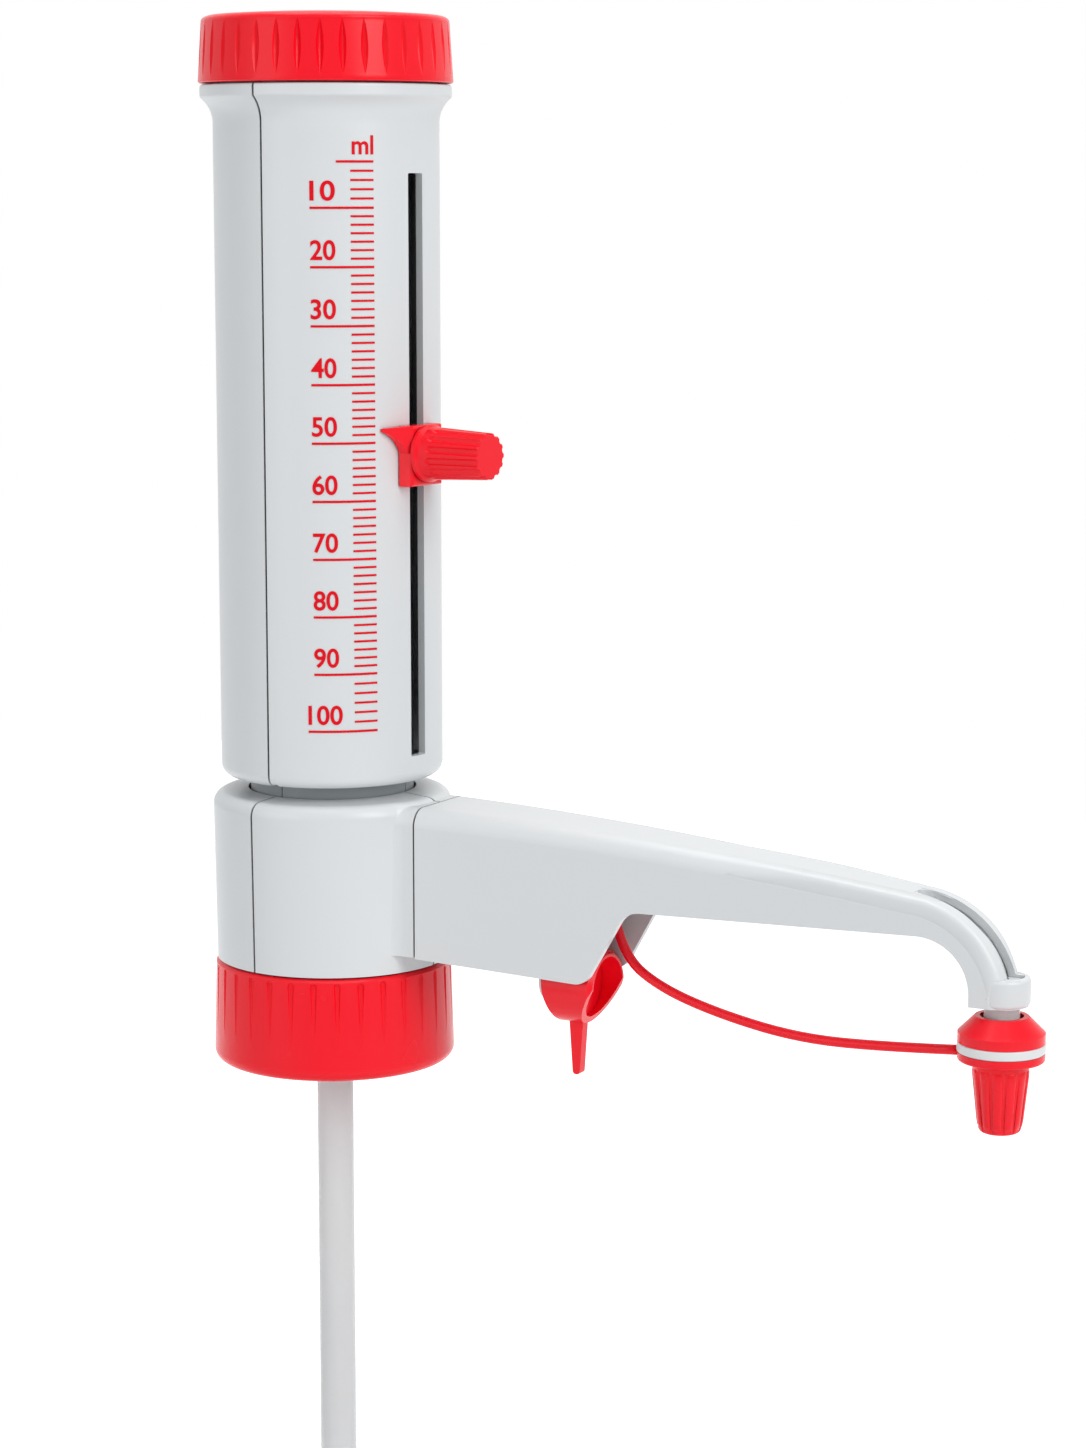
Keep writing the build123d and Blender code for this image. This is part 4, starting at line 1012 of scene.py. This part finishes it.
def pale_ground():
    """White to the lens and to reflections, else plain pale paint, with the shadows kept."""
    paint = {
        "Base Color": (*settings().backdrop, 1.0),
        "Roughness": FLOOR_ROUGHNESS,
        "Specular IOR Level": 0.0,
        "Emission Color": WHITE,
    }
    material, tree, shader = shaded("Pale ground", paint)
    link = tree.links.new
    reach = add_node(tree, "ShaderNodeVectorMath", operation="LENGTH")
    link(add_node(tree, "ShaderNodeTexCoord").outputs["Object"], reach.inputs[0])
    ends = {
        "From Min": GLOW_NEAR[0],
        "From Max": GLOW_FAR[0],
        "To Min": GLOW_NEAR[1],
        "To Max": GLOW_FAR[1],
    }
    fade = add_node(tree, "ShaderNodeMapRange", ends)
    link(reach.outputs["Value"], fade.inputs["Value"])
    glow = add_node(tree, "ShaderNodeMath", operation="MULTIPLY")
    link(seen_ray(tree), glow.inputs[0])
    link(fade.outputs[0], glow.inputs[1])
    link(glow.outputs[0], shader.inputs["Emission Strength"])
    return material


def bright_room():
    """Surroundings that light the part softly and look white to the lens."""
    world = bpy.data.worlds.new("Bright room")
    world.use_nodes = True
    tree = world.node_tree
    ground = tree.nodes["Background"]
    ground.inputs["Color"].default_value = ROOM_COLOUR
    ground.inputs["Strength"].default_value = ROOM_STRENGTH
    white = add_node(tree, "ShaderNodeBackground", {"Color": WHITE, "Strength": 1.0})
    mix = add_node(tree, "ShaderNodeMixShader")
    tree.links.new(seen_ray(tree), mix.inputs["Fac"])
    tree.links.new(ground.outputs[0], mix.inputs[1])
    tree.links.new(white.outputs[0], mix.inputs[2])
    tree.links.new(mix.outputs[0], tree.nodes["World Output"].inputs["Surface"])
    return world


def area_lamp(name, at, size, energy):
    data = bpy.data.lights.new(name, "AREA")
    data.shape = "RECTANGLE"
    data.size, data.size_y = size
    data.energy = energy
    lamp = bpy.data.objects.new(name, data)
    lamp.location = at
    aim = Vector(LAMP_TARGET) - Vector(at)
    lamp.rotation_euler = aim.to_track_quat("-Z", "Y").to_euler()
    return lamp


def bench_camera():
    data = bpy.data.cameras.new("bench_camera")
    data.lens = CAMERA_LENS
    data.sensor_width = CAMERA_SENSOR
    data.sensor_height = CAMERA_SENSOR
    data.sensor_fit = "AUTO"
    data.clip_start = CAMERA_NEAR
    camera = bpy.data.objects.new("bench_camera", data)
    turn = atan2(CAMERA_FORWARD[1], CAMERA_FORWARD[0]) - UPRIGHT
    camera.rotation_euler = Euler((UPRIGHT - radians(CAMERA_PITCH), 0, turn))
    camera.location = CAMERA_AT
    return camera


class DISPENSER_OT_stage(bpy.types.Operator):
    """Set up the floor, the soft lamps, the bright surroundings and the camera."""

    bl_idname = "dispenser.stage"
    bl_label = "Stage"

    def execute(self, context):
        scene = context.scene
        add = scene.collection.objects.link
        bm = bmesh.new()
        bmesh.ops.create_grid(bm, x_segments=1, y_segments=1, size=FLOOR_REACH)
        bmesh.ops.translate(bm, verts=bm.verts, vec=(0, 0, FLOOR_Z))
        floor = bpy.data.objects.new("floor", to_mesh("floor", bm, False))
        floor.data.materials.append(pale_ground())
        add(floor)

        scene.world = bright_room()
        for lamp in LAMPS:
            add(area_lamp(*lamp))
        scene.camera = bench_camera()
        add(scene.camera)
        scene.view_settings.view_transform = "Standard"
        return {"FINISHED"}


# ------------------------------------------------------------------ add-on
OPERATORS = (
    DISPENSER_OT_mouldings,
    DISPENSER_OT_scale,
    DISPENSER_OT_bend_lips,
    DISPENSER_OT_cap_skin,
    DISPENSER_OT_grip_ribs,
    DISPENSER_OT_tether,
    DISPENSER_OT_thread,
    DISPENSER_OT_stage,
)


class DISPENSER_PT_panel(bpy.types.Panel):
    """Lists the dispenser's settings and pieces."""

    bl_label = "Bottle Top Dispenser"
    bl_idname = "DISPENSER_PT_panel"
    bl_space_type = "VIEW_3D"
    bl_region_type = "UI"
    bl_category = "Dispenser"

    def draw(self, context):
        for name in DispenserSettings.__annotations__:
            self.layout.prop(context.scene.dispenser, name)
        for operator in OPERATORS:
            self.layout.operator(operator.bl_idname)


CLASSES = (DispenserSettings, *OPERATORS, DISPENSER_PT_panel)


def register():
    for item in CLASSES:
        bpy.utils.register_class(item)
    bpy.types.Scene.dispenser = bpy.props.PointerProperty(type=DispenserSettings)


def unregister():
    del bpy.types.Scene.dispenser
    for item in reversed(CLASSES):
        bpy.utils.unregister_class(item)


def main():
    register()
    bpy.ops.dispenser.mouldings()
    bpy.ops.dispenser.scale()
    bpy.ops.dispenser.bend_lips()
    bpy.ops.dispenser.cap_skin()
    bpy.ops.dispenser.grip_ribs()
    bpy.ops.dispenser.tether()
    bpy.ops.dispenser.thread()
    bpy.ops.dispenser.stage()


if __name__ == "__main__":
    main()
